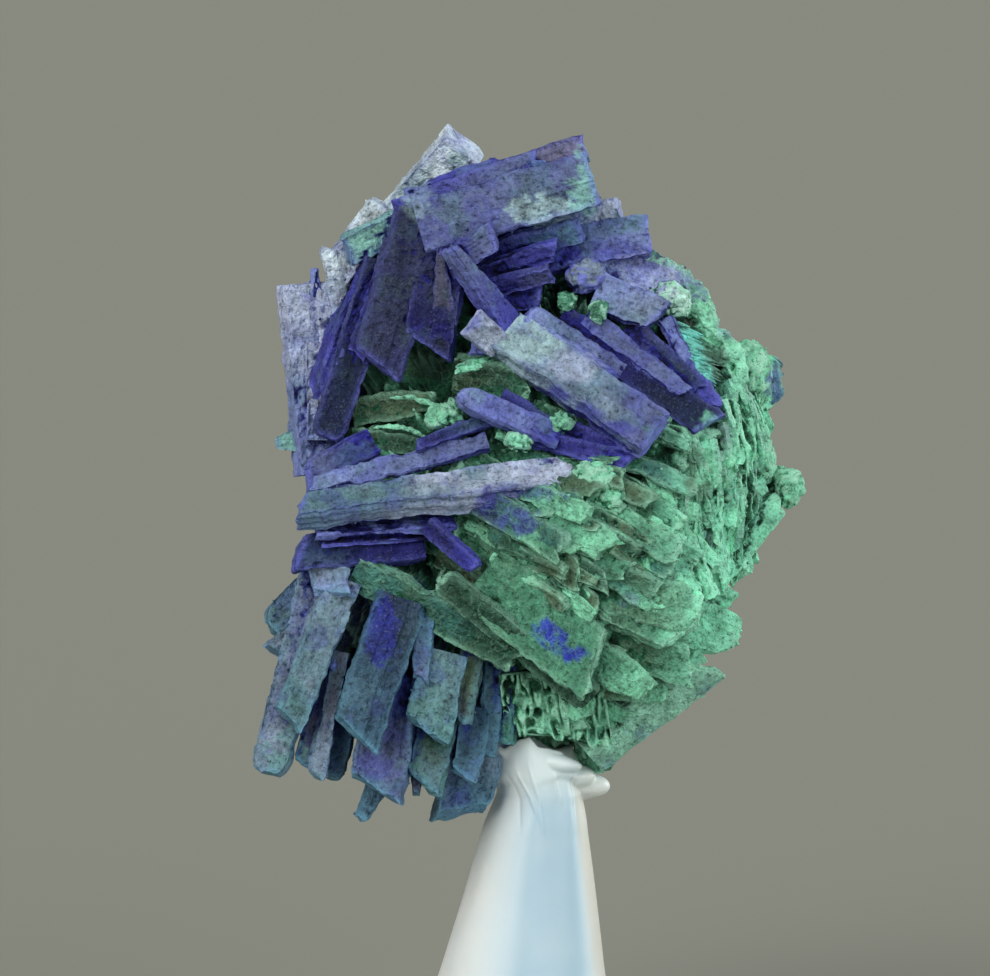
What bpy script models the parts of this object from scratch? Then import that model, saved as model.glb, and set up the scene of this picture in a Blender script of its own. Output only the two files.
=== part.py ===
"""Azurite specimen: bladed blue crystals grown together with malachite, held upright by a
cone of mineral putty.  Metres, +Z up, the viewer of the specimen on -Y.

The origin is the centre of the putty's foot, on the floor.  The crystals are placed as they
are seen from the front: right and up in millimetres across the picture plane, and near in
millimetres from that plane towards the eye.
"""
import math
import random
from collections import namedtuple

import bmesh
import bpy
from mathutils import Matrix, Quaternion, Vector

MM = 0.001

# How the specimen is looked at: the eye is far away and a little above it.
VIEW_DISTANCE = 400.0
LEAN = math.radians(6.0)
AIM_RIGHT = -1.25
AIM_UP = 32.6
SET_BACK = 3.0
TOWARDS_EYE = Vector((0.0, -math.cos(LEAN), math.sin(LEAN)))

# The putty cone: height, half width and sideways shift of its middle, from the foot up.
PUTTY_RINGS = (
    (0.0, 8.8, 0.0),
    (0.9, 8.9, 0.0),
    (1.7, 8.2, 0.0),
    (3.2, 6.4, -0.1),
    (5.2, 4.95, -0.15),
    (8.2, 4.1, 0.1),
    (12.0, 3.25, 0.45),
    (15.2, 2.6, 0.7),
    (17.2, 2.2, 0.95),
    (18.7, 2.1, 0.75),
    (19.7, 1.9, 0.6),
)
PUTTY_SIDES = 28
PUTTY_GAP = 0.3
PUTTY_LUMP = ((3.35, 17.75, 0.6), (1.1, 0.75, 0.9))

Blade = namedtuple("Blade", "name root tip width thick roll end")

# Azurite blades: root, tip, width and thickness in millimetres, then the roll about the length
# in degrees (0 shows the broad face to the eye) and the form of the end.
TOP_BLADES = (
    Blade("peak_block", (-6.3, 45.4, -0.6), (-2.75, 49.75, 1.8), 2.5, 2.4, 8, "flat"),
    Blade("shoulder_slab", (-9.1, 43.2, 1.2), (-6.6, 46.6, 1.4), 1.8, 1.6, -15, "flat"),
    Blade("shoulder_step", (-8.7, 41.4, 1.4), (-9.25, 44.7, 1.6), 1.5, 1.3, 10, "chisel"),
    Blade("green_bar", (-4.8, 46.3, 2.8), (-8.65, 44.45, 3.4), 1.55, 1.5, -8, "flat"),
    Blade("left_column", (-10.0, 33.3, 0.6), (-10.85, 42.8, 0.4), 2.3, 2.4, 12, "flat"),
    Blade("column_spike", (-10.2, 40.0, 0.9), (-10.25, 43.5, 0.9), 0.9, 1.0, 20, "point"),
    Blade("column_step", (-10.1, 35.0, 1.6), (-10.05, 40.1, 1.7), 1.2, 0.9, 5, "chisel"),
    Blade("mint_tip", (-9.6, 35.2, 0.2), (-12.15, 34.85, 0.0), 1.9, 1.2, 0, "point"),
    Blade("edge_plate_outer", (-7.7, 44.0, 2.6), (-10.45, 37.15, 2.7), 2.4, 0.5, 76, "chisel"),
    Blade("edge_plate_inner", (-7.2, 44.0, 3.3), (-9.95, 37.7, 3.4), 2.4, 0.5, 70, "chisel"),
    Blade("long_dark_slab", (-6.9, 43.9, 3.6), (-9.7, 35.1, 4.4), 1.75, 1.1, -6, "round"),
    Blade("slate_edge", (-6.1, 44.9, 4.0), (-8.15, 38.9, 4.5), 1.1, 1.2, 30, "chisel"),
    Blade("slate_slab", (-4.9, 46.4, 4.6), (-7.25, 38.2, 5.2), 2.5, 1.2, -4, "chisel"),
    Blade("violet_block", (-3.9, 43.8, 4.8), (-4.7, 39.1, 5.0), 2.5, 1.4, 6, "chisel"),
    Blade("brown_wedge", (-3.75, 40.8, 5.2), (-3.9, 44.5, 5.9), 1.3, 0.9, -10, "point"),
    Blade("pointed_wedge", (-0.55, 40.6, 5.4), (-3.55, 44.5, 6.9), 1.5, 1.1, 38, "point"),
    Blade("top_hero", (-5.0, 45.55, 5.0), (3.6, 48.05, 5.6), 2.6, 1.2, -6, "flat"),
    Blade("hero_layer_two", (-6.2, 46.35, 3.9), (0.95, 48.95, 4.6), 1.2, 0.9, -14, "chisel"),
    Blade("hero_layer_three", (-5.6, 46.9, 3.2), (-0.9, 48.75, 3.8), 1.0, 0.8, -18, "chisel"),
    Blade("hero_top_chip", (1.3, 48.0, 4.7), (0.75, 49.1, 5.0), 0.7, 0.6, 10, "chisel"),
    Blade("speckled_plate", (-2.6, 47.7, 2.9), (3.3, 49.65, 3.6), 1.3, 1.0, -8, "flat"),
    Blade("under_blade", (-3.6, 43.7, 5.7), (-1.05, 45.5, 6.5), 1.5, 1.0, 6, "chisel"),
    Blade("teal_plate", (-2.2, 44.2, 3.8), (3.0, 45.55, 4.9), 1.2, 0.7, 28, "flat"),
    Blade("violet_plate", (-2.4, 43.35, 4.0), (2.0, 44.6, 5.0), 1.0, 0.6, 34, "chisel"),
    Blade("indigo_plate", (-2.2, 42.4, 4.2), (1.6, 43.35, 5.0), 0.9, 0.6, 34, "flat"),
    Blade("backing_plate", (-4.0, 44.2, 1.6), (3.2, 46.3, 2.0), 2.6, 1.8, 0, "flat"),
    Blade("indigo_face", (-2.2, 41.9, 3.4), (1.5, 42.75, 4.0), 1.9, 1.2, 0, "chisel"),
    Blade("lavender_cap", (0.8, 45.5, 3.0), (5.0, 46.55, 3.4), 1.1, 1.4, -12, "flat"),
    Blade("lavender_slab", (1.4, 44.3, 3.2), (6.45, 45.25, 3.4), 1.9, 1.8, -8, "flat"),
    Blade("crumbled_slab", (3.2, 43.8, 2.6), (8.3, 42.2, 2.2), 1.8, 2.2, -14, "mirror"),
    Blade("grey_slab", (3.8, 42.4, 4.2), (7.3, 41.0, 4.5), 1.9, 1.4, -10, "chisel"),
)

CENTRE_BLADES = (
    Blade("pale_chip", (-1.1, 39.8, 6.2), (-2.35, 40.85, 7.2), 1.35, 0.7, 0, "flat"),
    Blade("chip_under", (-1.0, 39.7, 5.6), (-2.5, 39.75, 6.4), 1.0, 0.8, 0, "chisel"),
    Blade("diagonal_hero", (-0.7, 40.15, 5.6), (6.75, 35.2, 7.8), 2.35, 1.7, -22, "flat"),
    Blade("slit_plate", (1.0, 40.65, 5.4), (4.65, 38.1, 6.5), 1.3, 0.35, -66, "chisel"),
    Blade("round_blade", (4.9, 38.2, 4.7), (0.35, 41.25, 5.4), 1.3, 1.1, 10, "round"),
    Blade("navy_blade", (2.0, 41.0, 4.1), (9.75, 35.5, 5.3), 1.75, 1.1, -8, "chisel"),
    Blade("slate_strip", (3.3, 41.1, 4.4), (8.4, 37.2, 5.3), 0.9, 0.9, -14, "chisel"),
    Blade("indigo_wedge", (5.4, 40.7, 4.0), (9.0, 37.2, 4.9), 1.3, 0.9, -10, "chisel"),
    Blade("lavender_strip", (7.2, 41.0, 3.9), (9.75, 36.5, 4.8), 0.8, 0.9, -10, "chisel"),
    Blade("violet_mid_blade", (1.9, 35.05, 6.6), (-3.0, 37.2, 7.2), 1.25, 1.2, 16, "round"),
    Blade("violet_right_blade", (0.6, 35.1, 6.5), (5.7, 33.95, 7.2), 0.85, 0.9, 0, "chisel"),
    Blade("indigo_upper_strip", (-0.9, 37.1, 6.0), (2.3, 35.5, 6.8), 0.75, 0.8, 0, "chisel"),
    Blade("indigo_right_strip", (2.2, 35.6, 6.2), (6.0, 34.1, 6.9), 0.95, 0.9, 0, "chisel"),
    Blade("dark_sliver", (-1.4, 36.1, 6.0), (-5.3, 34.65, 7.0), 0.7, 0.9, 10, "chisel"),
    Blade("lavender_blade", (-1.7, 34.85, 5.9), (-10.6, 32.55, 7.5), 0.95, 1.0, 14, "chisel"),
    Blade("left_violet_block", (-7.4, 34.8, 4.4), (-10.9, 32.95, 5.3), 1.5, 1.8, 8, "chisel"),
    Blade("mid_hero", (3.1, 33.2, 6.4), (-11.3, 31.45, 8.2), 1.6, 1.6, 38, "chisel"),
    Blade("thin_plate_upper", (-3.4, 31.1, 5.4), (-10.5, 30.6, 7.0), 2.4, 0.3, 66, "chisel"),
    Blade("thin_plate_lower", (-3.8, 30.6, 5.3), (-10.2, 30.15, 6.9), 2.4, 0.3, 66, "chisel"),
    Blade("porous_block", (-5.0, 29.75, 5.4), (-11.45, 29.35, 7.0), 1.7, 1.7, 6, "chisel"),
    Blade("ultramarine_blade", (-4.6, 30.7, 7.0), (-2.15, 28.65, 8.2), 0.8, 0.7, 20, "round"),
)

LOWER_BLADES = (
    Blade("outer_slab_high", (-8.4, 29.2, 1.6), (-12.35, 25.5, 2.4), 2.0, 1.8, 10, "round"),
    Blade("outer_slab_low", (-8.2, 27.6, 2.0), (-12.3, 24.1, 3.0), 1.5, 1.8, 0, "mirror"),
    Blade("long_blade", (-9.75, 29.2, 5.0), (-12.55, 18.4, 6.2), 1.9, 1.4, 6, "round"),
    Blade("green_tip_blade", (-8.75, 28.0, 6.6), (-11.75, 20.7, 7.7), 1.65, 1.2, -6, "chisel"),
    Blade("head_slab", (-9.75, 29.2, 6.2), (-9.2, 26.9, 7.4), 1.8, 1.0, 0, "chisel"),
    Blade("narrow_blade", (-9.3, 24.0, 5.4), (-10.85, 18.6, 5.8), 1.0, 1.0, 8, "chisel"),
    Blade("sparkling_blade", (-9.0, 24.4, 6.3), (-10.25, 18.0, 6.7), 0.85, 0.9, -8, "chisel"),
    Blade("shadow_blade", (-8.4, 24.0, 4.8), (-9.3, 18.1, 5.2), 1.3, 1.0, 0, "round"),
    Blade("navy_slab", (-5.95, 27.0, 6.8), (-8.35, 19.7, 8.6), 2.45, 1.2, -4, "chisel"),
    Blade("slit_slab", (-6.2, 24.0, 5.4), (-7.2, 16.9, 6.6), 2.7, 1.6, 5, "chisel"),
    Blade("teal_tip", (-5.6, 20.6, 4.2), (-8.0, 16.1, 5.0), 2.3, 1.4, -6, "point"),
    Blade("dark_wedge", (-5.0, 20.6, 5.0), (-5.2, 17.3, 5.4), 1.1, 1.0, 0, "point"),
    Blade("cyan_strip", (-4.7, 26.6, 6.4), (-4.95, 22.8, 7.3), 0.8, 0.9, 0, "chisel"),
    Blade("grey_green_slab", (-3.8, 24.3, 6.2), (-4.8, 19.9, 7.3), 2.3, 1.1, -6, "chisel"),
    Blade("dark_green_slab", (-3.9, 21.2, 5.0), (-4.9, 17.4, 5.9), 1.9, 1.2, 4, "chisel"),
    Blade("mint_edged_facet", (-2.2, 21.6, 5.0), (-2.95, 17.9, 5.6), 1.3, 1.0, -14, "chisel"),
    Blade("blue_foot_block", (-1.9, 21.4, 1.4), (-3.1, 15.8, 3.2), 2.7, 2.6, -8, "mirror"),
    Blade("brown_sliver", (-2.3, 24.4, 5.4), (-2.85, 20.7, 6.4), 1.0, 0.8, 18, "chisel"),
    Blade("teal_sliver", (-1.4, 24.2, 4.6), (-1.75, 19.1, 4.7), 0.95, 0.9, -18, "chisel"),
    Blade("last_sliver", (-0.5, 23.8, 4.4), (-0.8, 19.8, 4.0), 0.9, 0.9, 14, "chisel"),
)

# Malachite that has taken the place of the blades: long plates and broad leaves.
MALACHITE_LEAVES = (
    Blade("teal_leaf", (-8.2, 28.5, 6.2), (0.4, 24.0, 7.4), 1.55, 1.0, 20, "leaf"),
    Blade("round_leaf", (3.5, 22.1, 6.6), (-3.9, 28.1, 8.4), 1.3, 0.9, -12, "round"),
    Blade("blue_patched_leaf", (-1.9, 28.2, 7.2), (4.3, 23.2, 8.2), 2.9, 1.2, -6, "leaf"),
    Blade("low_leaf", (3.4, 24.4, 6.6), (6.6, 22.3, 6.4), 1.6, 0.9, 10, "leaf"),
    Blade("brown_leaf", (4.4, 24.8, 6.4), (8.9, 23.5, 5.4), 1.7, 0.9, 12, "leaf"),
    Blade("shelf_leaf", (3.2, 27.0, 7.0), (7.9, 24.9, 7.4), 1.2, 0.8, -20, "leaf"),
    Blade("great_leaf", (1.4, 28.5, 6.8), (9.0, 26.3, 7.2), 2.3, 1.1, -10, "leaf"),
    Blade("fan_lobe", (6.6, 26.3, 5.0), (10.7, 25.3, 3.8), 2.3, 1.2, -6, "leaf"),
    Blade("fan_lobe_high", (8.0, 27.8, 4.4), (10.75, 27.0, 3.2), 1.2, 1.2, 0, "leaf"),
    Blade("long_ridge", (6.7, 33.4, 6.2), (9.65, 26.9, 5.6), 0.8, 1.3, 10, "leaf"),
    Blade("flank_ridge", (9.1, 35.6, 3.8), (9.9, 29.6, 4.6), 0.8, 1.4, 0, "leaf"),
    Blade("rear_fin", (8.8, 27.9, 2.2), (13.0, 32.0, 0.8), 1.9, 1.1, 14, "leaf"),
    Blade("smooth_sail", (3.5, 19.2, 1.8), (9.65, 23.9, 1.2), 1.6, 1.0, -6, "leaf"),
    Blade("centre_leaf_one", (0.6, 31.8, 7.0), (6.6, 29.6, 7.8), 1.8, 0.9, 12, "leaf"),
    Blade("centre_leaf_two", (-0.8, 30.4, 7.2), (5.6, 28.2, 8.1), 1.6, 0.9, -8, "leaf"),
    Blade("centre_leaf_three", (3.2, 33.4, 6.4), (8.2, 30.6, 6.6), 1.7, 0.9, 8, "leaf"),
    Blade("indigo_leaf", (-2.2, 32.2, 7.0), (1.5, 29.9, 8.0), 1.5, 0.8, 6, "leaf"),
    Blade("hollow_shelf", (-3.2, 38.2, 4.8), (0.8, 37.6, 5.8), 1.9, 1.4, 16, "leaf"),
    Blade("lime_ledge", (-1.2, 39.1, 5.6), (-3.3, 38.5, 6.3), 0.5, 0.5, 0, "leaf"),
    Blade("hollow_lip_high", (-8.2, 36.4, 3.0), (-4.2, 37.0, 4.4), 1.1, 1.2, 0, "leaf"),
    Blade("hollow_lip_low", (-8.3, 35.0, 3.4), (-4.4, 34.6, 4.8), 1.1, 1.3, 0, "leaf"),
    Blade("flank_leaf_low", (8.0, 31.6, 3.6), (12.4, 33.2, 1.2), 2.2, 1.4, 0, "leaf"),
    Blade("flank_leaf_high", (8.4, 34.8, 3.2), (12.2, 35.8, 0.4), 2.4, 1.4, 0, "leaf"),
    Blade("ear", (9.4, 37.4, 0.6), (12.95, 38.1, -1.2), 2.5, 1.8, 0, "leaf"),
)

Lump = namedtuple("Lump", "name middle radii detail")

# Rounded masses: the ground that the blades stand in, then the knobs that stand out of it.
MASS_LOBES = (
    Lump("heart", (-0.5, 32.0, -2.2), (8.8, 12.6, 8.6), 2),
    Lump("right_flank", (6.8, 34.2, -0.4), (5.3, 7.6, 6.2), 3),
    Lump("front_swell", (3.2, 29.6, 2.2), (6.3, 6.4, 5.2), 3),
    Lump("lower_right", (4.4, 24.9, 0.6), (5.1, 5.6, 5.4), 2),
    Lump("lower_middle", (0.9, 22.9, 0.2), (4.3, 4.1, 4.0), 1),
    Lump("top_right", (5.2, 40.4, -0.6), (4.9, 3.9, 4.9), 2),
    Lump("top_left", (-4.4, 41.0, -0.2), (5.9, 5.5, 4.9), 1),
    Lump("lower_left", (-6.3, 24.8, 0.8), (4.3, 5.4, 5.0), 1),
    Lump("left_middle", (-6.3, 32.2, 0.6), (4.2, 5.8, 5.2), 1),
)
KNOBS = (
    Lump("grey_dome", (3.3, 43.2, 4.2), (1.15, 0.85, 1.1), 2),
    Lump("green_bit_left", (2.35, 41.85, 4.4), (0.5, 0.55, 0.6), 1),
    Lump("green_bit_right", (3.95, 41.4, 4.9), (0.55, 0.7, 0.6), 1),
    Lump("mint_lump", (7.5, 41.95, 3.2), (0.95, 0.8, 1.0), 2),
    Lump("mint_nub", (-3.75, 36.1, 5.6), (0.95, 0.75, 1.1), 2),
    Lump("mint_bud_right", (2.15, 35.9, 6.7), (0.65, 0.6, 0.8), 1),
    Lump("mint_bud_left", (0.0, 34.9, 6.9), (0.75, 0.5, 0.8), 1),
    Lump("knob", (13.3, 32.65, 0.2), (1.0, 1.1, 1.1), 2),
    Lump("bubbly_high", (3.8, 33.0, 6.9), (1.3, 1.2, 1.1), 2),
    Lump("bubbly_low", (4.6, 32.0, 7.1), (0.9, 0.8, 0.9), 1),
    Lump("flank_bulge_high", (10.8, 38.2, 0.2), (1.4, 2.2, 2.2), 2),
    Lump("flank_bulge_mid", (11.3, 34.0, 0.4), (1.6, 1.6, 2.0), 2),
    Lump("shoulder_bulge", (8.3, 40.7, 1.2), (1.5, 1.7, 2.2), 2),
    Lump("foot_bulge", (3.9, 20.0, 1.0), (1.3, 1.7, 1.4), 2),
    Lump("teal_knob", (-9.3, 23.7, 6.3), (0.5, 0.65, 0.7), 1),
)

RIB_COUNT = 7
RIB_FIRST = (0.05, 22.9, 4.4)
RIB_PITCH = 0.46
RIB_LENGTH = 3.3

# The crystals of the back: rings of blades that lie on the mass like slates.  Past the turn
# where the malachite begins they are broad leaves, and these go on round the right flank.
BACK_MIDDLE = (-0.4, 32.4, -2.2)
BACK_RADII = (9.3, 12.8, 9.0)
FLANK_MIDDLE = (1.2, 33.4, -0.6)
FLANK_RADII = (10.8, 12.5, 7.8)
MALACHITE_TURN = 128.0
BACK_RINGS = (
    # height over the middle in degrees, first and last turn from the left, count, length, width
    (66, -10, 200, 6, 6.4, 2.7),
    (38, -6, 215, 9, 7.4, 2.7),
    (10, -10, 222, 10, 8.0, 2.8),
    (-18, -10, 222, 10, 7.6, 2.7),
    (-46, 10, 200, 7, 6.4, 2.4),
)


def from_front(right, up, near):
    """A point seen at (right, up) and near millimetres in front of the picture plane."""
    near = near - SET_BACK
    shrink = (VIEW_DISTANCE - near) / VIEW_DISTANCE
    across = AIM_RIGHT + (right - AIM_RIGHT) * shrink
    rise = (up - AIM_UP) * shrink
    back = rise * math.sin(LEAN) - near * math.cos(LEAN)
    height = AIM_UP + rise * math.cos(LEAN) + near * math.sin(LEAN)
    return Vector((across, back, height)) * MM


def blade_matrix(blade):
    """Axes of a blade: X across its width, Y along its length, Z out of its broad face."""
    root = from_front(*blade.root)
    along = (from_front(*blade.tip) - root).normalized()
    facing = TOWARDS_EYE - along * TOWARDS_EYE.dot(along)
    facing.normalize()
    facing.rotate(Quaternion(along, math.radians(blade.roll)))
    across = along.cross(facing)
    turn = Matrix((across, along, facing)).transposed().to_4x4()
    return Matrix.Translation(root) @ turn


def blade_length(blade):
    return (from_front(*blade.tip) - from_front(*blade.root)).length


def new_object(name, bm, collection, material=None):
    mesh = bpy.data.meshes.new(name)
    bm.to_mesh(mesh)
    bm.free()
    obj = bpy.data.objects.new(name, mesh)
    if material:
        mesh.materials.append(material)
    collection.objects.link(obj)
    return obj


def shape_end(bm, end, width, length):
    """Gives the tip of a box its form: cut across, slanted, narrowed or with cut corners."""
    tip = [v for v in bm.verts if v.co.y > length * 0.5]
    for vert in tip:
        if end in ("chisel", "mirror"):
            side = 1.0 if end == "chisel" else -1.0
            vert.co.y -= (side * vert.co.x + width * 0.5) * 0.45
        if end == "point":
            vert.co.x *= 0.22
        if end in ("round", "leaf"):
            vert.co.x *= 0.9
        vert.co.z *= 0.82
    if end in ("round", "leaf"):
        corners = [e for e in bm.edges if e.verts[0] in tip and e.verts[1] in tip
                   and abs(e.verts[0].co.x - e.verts[1].co.x) < width * 0.01]
        size = width * (0.34 if end == "round" else 0.28)
        bmesh.ops.bevel(bm, geom=corners, offset=size, segments=1, affect="EDGES")


def blade_bmesh(blade):
    """A blade as a box with a shaped tip and, where it is large, chamfered long edges."""
    width = blade.width * MM
    thick = blade.thick * MM
    length = blade_length(blade)
    bm = bmesh.new()
    bmesh.ops.create_cube(bm, size=1.0)
    bmesh.ops.scale(bm, vec=(width, length, thick), verts=bm.verts)
    bmesh.ops.translate(bm, vec=(0.0, length * 0.5, 0.0), verts=bm.verts)
    shape_end(bm, blade.end, width, length)
    if blade.end == "leaf":
        for vert in bm.verts:
            if vert.co.y < length * 0.5:
                vert.co.x *= 0.75
    if blade.width >= 2.3 and not blade.name.startswith("back"):
        long_edges = [e for e in bm.edges if abs(e.verts[0].co.y - e.verts[1].co.y) > length * 0.6]
        bmesh.ops.bevel(bm, geom=long_edges, offset=thick * 0.16, segments=1, affect="EDGES")
    bmesh.ops.transform(bm, matrix=blade_matrix(blade), verts=bm.verts)
    bmesh.ops.triangulate(bm, faces=bm.faces)
    return bm


def lump_bmesh(lump, seed):
    """A rounded mass: an icosphere stretched to its radii, with shallow swells and dents."""
    bm = bmesh.new()
    bmesh.ops.create_icosphere(bm, subdivisions=lump.detail, radius=1.0)
    for vert in bm.verts:
        x, y, z = vert.co
        swell = math.sin(5.1 * x + seed) * math.sin(4.3 * y + 1.7 * seed)
        swell += 0.7 * math.sin(7.7 * z + 2.3 * seed + 2.0 * x)
        vert.co *= 1.0 + 0.035 * swell
    middle = from_front(*lump.middle)
    turn = Matrix.Rotation(-LEAN, 4, "X")
    size = Matrix.Diagonal((lump.radii[0] * MM, lump.radii[2] * MM, lump.radii[1] * MM, 1.0))
    bmesh.ops.transform(bm, matrix=Matrix.Translation(middle) @ turn @ size, verts=bm.verts)
    return bm


def rib_blades():
    """The comb of upright ribs below the long plates, each a thin narrow blade."""
    ribs = []
    for index in range(RIB_COUNT):
        right = RIB_FIRST[0] + RIB_PITCH * index
        drop = 0.25 * math.sin(2.1 * index)
        root = (right, RIB_FIRST[1] - 0.12 * index, RIB_FIRST[2])
        tip = (right + 0.12, RIB_FIRST[1] - RIB_LENGTH + drop, RIB_FIRST[2] - 0.9)
        ribs.append(Blade(f"rib_{index}", root, tip, 0.24, 1.2, 8, "chisel"))
    return ribs


def back_blades():
    """Blades of the back: each starts in the mass, follows it and lifts off towards its tip."""
    rng = random.Random(11)
    blades = []
    for ring, (height, first, last, count, length, width) in enumerate(BACK_RINGS):
        for index in range(count):
            share = (index + 0.5) / count
            turn = first + (last - first) * share + rng.uniform(-4.0, 4.0)
            leafy = turn > MALACHITE_TURN
            tall = math.radians(height + rng.uniform(-6.0, 6.0))
            out = Vector((-math.cos(math.radians(turn)) * math.cos(tall), math.sin(tall),
                          -math.sin(math.radians(turn)) * math.cos(tall)))
            ground = (FLANK_MIDDLE, FLANK_RADII) if leafy else (BACK_MIDDLE, BACK_RADII)
            spot = Vector(a + b * c for a, b, c in zip(*ground, out))
            side = out.cross(Vector((0.0, 1.0, 0.0))).normalized()
            rise = side.cross(out)
            spin = math.radians(35.0 * ring + 47.0 * math.sin(1.9 * index + ring))
            if leafy:
                spin = math.radians(-75.0 + 25.0 * math.sin(2.7 * index + ring))
            run = side * math.cos(spin) + rise * math.sin(spin)
            half = length * rng.uniform(0.4, 0.52) * (0.7 if leafy else 1.0)
            root = spot - run * half - out * 1.5
            tip = spot + run * half + out * rng.uniform(-0.3, 0.8)
            roll = blade_roll(root, tip, out)
            end = "leaf" if leafy else rng.choice(("chisel", "mirror", "flat", "round"))
            blades.append(Blade(f"back_{ring}_{index}", tuple(root), tuple(tip),
                                width * rng.uniform(0.85, 1.15), rng.uniform(1.1, 1.6), roll, end))
    return blades


def blade_roll(root, tip, out):
    """The roll in degrees that turns a blade's broad face towards the direction out."""
    along = (tip - root).normalized()
    eye = Vector((0.0, 0.0, 1.0))
    start = (eye - along * eye.dot(along)).normalized()
    goal = (out - along * out.dot(along)).normalized()
    angle = math.atan2(along.dot(start.cross(goal)), start.dot(goal))
    return math.degrees(angle)


def finish_material(name, colour, roughness):
    material = bpy.data.materials.new(name)
    material.use_nodes = True
    shader = material.node_tree.nodes["Principled BSDF"]
    shader.inputs["Base Color"].default_value = (*colour, 1.0)
    shader.inputs["Roughness"].default_value = roughness
    shader.inputs["Metallic"].default_value = 0.0
    return material


def new_collection(name):
    collection = bpy.data.collections.new(name)
    bpy.context.scene.collection.children.link(collection)
    return collection


def apply_modifiers(obj):
    """Replaces the object's mesh by the one its modifiers give."""
    graph = bpy.context.evaluated_depsgraph_get()
    graph.update()
    mesh = bpy.data.meshes.new_from_object(obj.evaluated_get(graph))
    obj.modifiers.clear()
    obj.data = mesh


def boolean(obj, operation, other=None, collection=None):
    step = obj.modifiers.new(operation.title(), "BOOLEAN")
    step.operation = operation
    step.solver = "EXACT"
    if collection:
        step.operand_type = "COLLECTION"
        step.collection = collection
    else:
        step.object = other
    apply_modifiers(obj)


def keep_outer_skin(obj):
    """Fills the gaps that are closed in between blades: only the outer skin is kept."""
    bm = bmesh.new()
    bm.from_mesh(obj.data)
    bmesh.ops.remove_doubles(bm, verts=bm.verts, dist=0.0000005)
    left = set(bm.faces)
    shells = []
    while left:
        seed = left.pop()
        shell = {seed}
        queue = [seed]
        while queue:
            face = queue.pop()
            for edge in face.edges:
                for other in edge.link_faces:
                    if other in left:
                        left.discard(other)
                        shell.add(other)
                        queue.append(other)
        shells.append(shell)
    shells.sort(key=len)
    for shell in shells[:-1]:
        bmesh.ops.delete(bm, geom=list(shell), context="FACES")
    loose = [v for v in bm.verts if not v.link_faces]
    bmesh.ops.delete(bm, geom=loose, context="VERTS")
    bm.to_mesh(obj.data)
    bm.free()


def putty_profile(grow):
    """Turned outline of the putty from the top down, swollen by grow millimetres."""
    points = [(0.0, PUTTY_RINGS[-1][0] + 0.75 + grow)]
    points += [(half + grow, height + (grow if height > 18.0 else 0.0))
               for height, half, _ in reversed(PUTTY_RINGS)]
    points.append((0.0, 0.0))
    return points


def putty_shift(height):
    """Sideways place of the cone's middle at a height in millimetres."""
    for (low, _, shift_low), (high, _, shift_high) in zip(PUTTY_RINGS, PUTTY_RINGS[1:]):
        if height <= high:
            return shift_low + (shift_high - shift_low) * (height - low) / (high - low)
    return PUTTY_RINGS[-1][2]


def putty_body(name, collection, grow=0.0):
    """The hand-moulded cone: a turned profile, leant a little and pinched into folds."""
    mesh = bpy.data.meshes.new(name)
    bm = bmesh.new()
    points = [bm.verts.new((x * MM, 0.0, z * MM)) for x, z in putty_profile(grow)]
    for start, end in zip(points, points[1:]):
        bm.edges.new((start, end))
    bm.to_mesh(mesh)
    bm.free()
    obj = bpy.data.objects.new(name, mesh)
    collection.objects.link(obj)
    screw = obj.modifiers.new("Turn", "SCREW")
    screw.axis = "Z"
    screw.steps = PUTTY_SIDES
    screw.render_steps = PUTTY_SIDES
    screw.use_merge_vertices = True
    screw.merge_threshold = 0.00001
    screw.use_normal_calculate = True
    apply_modifiers(obj)
    for vert in obj.data.vertices:
        height = vert.co.z / MM
        angle = math.atan2(vert.co.y, vert.co.x)
        grip = max(0.0, min(1.0, (height - 6.0) / 10.0))
        fold = 1.0 + grip * (0.05 * math.sin(3.0 * angle + 0.6) + 0.035 * math.sin(7.0 * angle))
        vert.co.x *= fold
        vert.co.y *= fold
        if height > 18.9:
            vert.co.z += MM * (0.35 * math.sin(2.0 * angle + 2.2) - 0.25 * math.cos(angle))
        vert.co.x += putty_shift(height) * MM
    return obj


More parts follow.
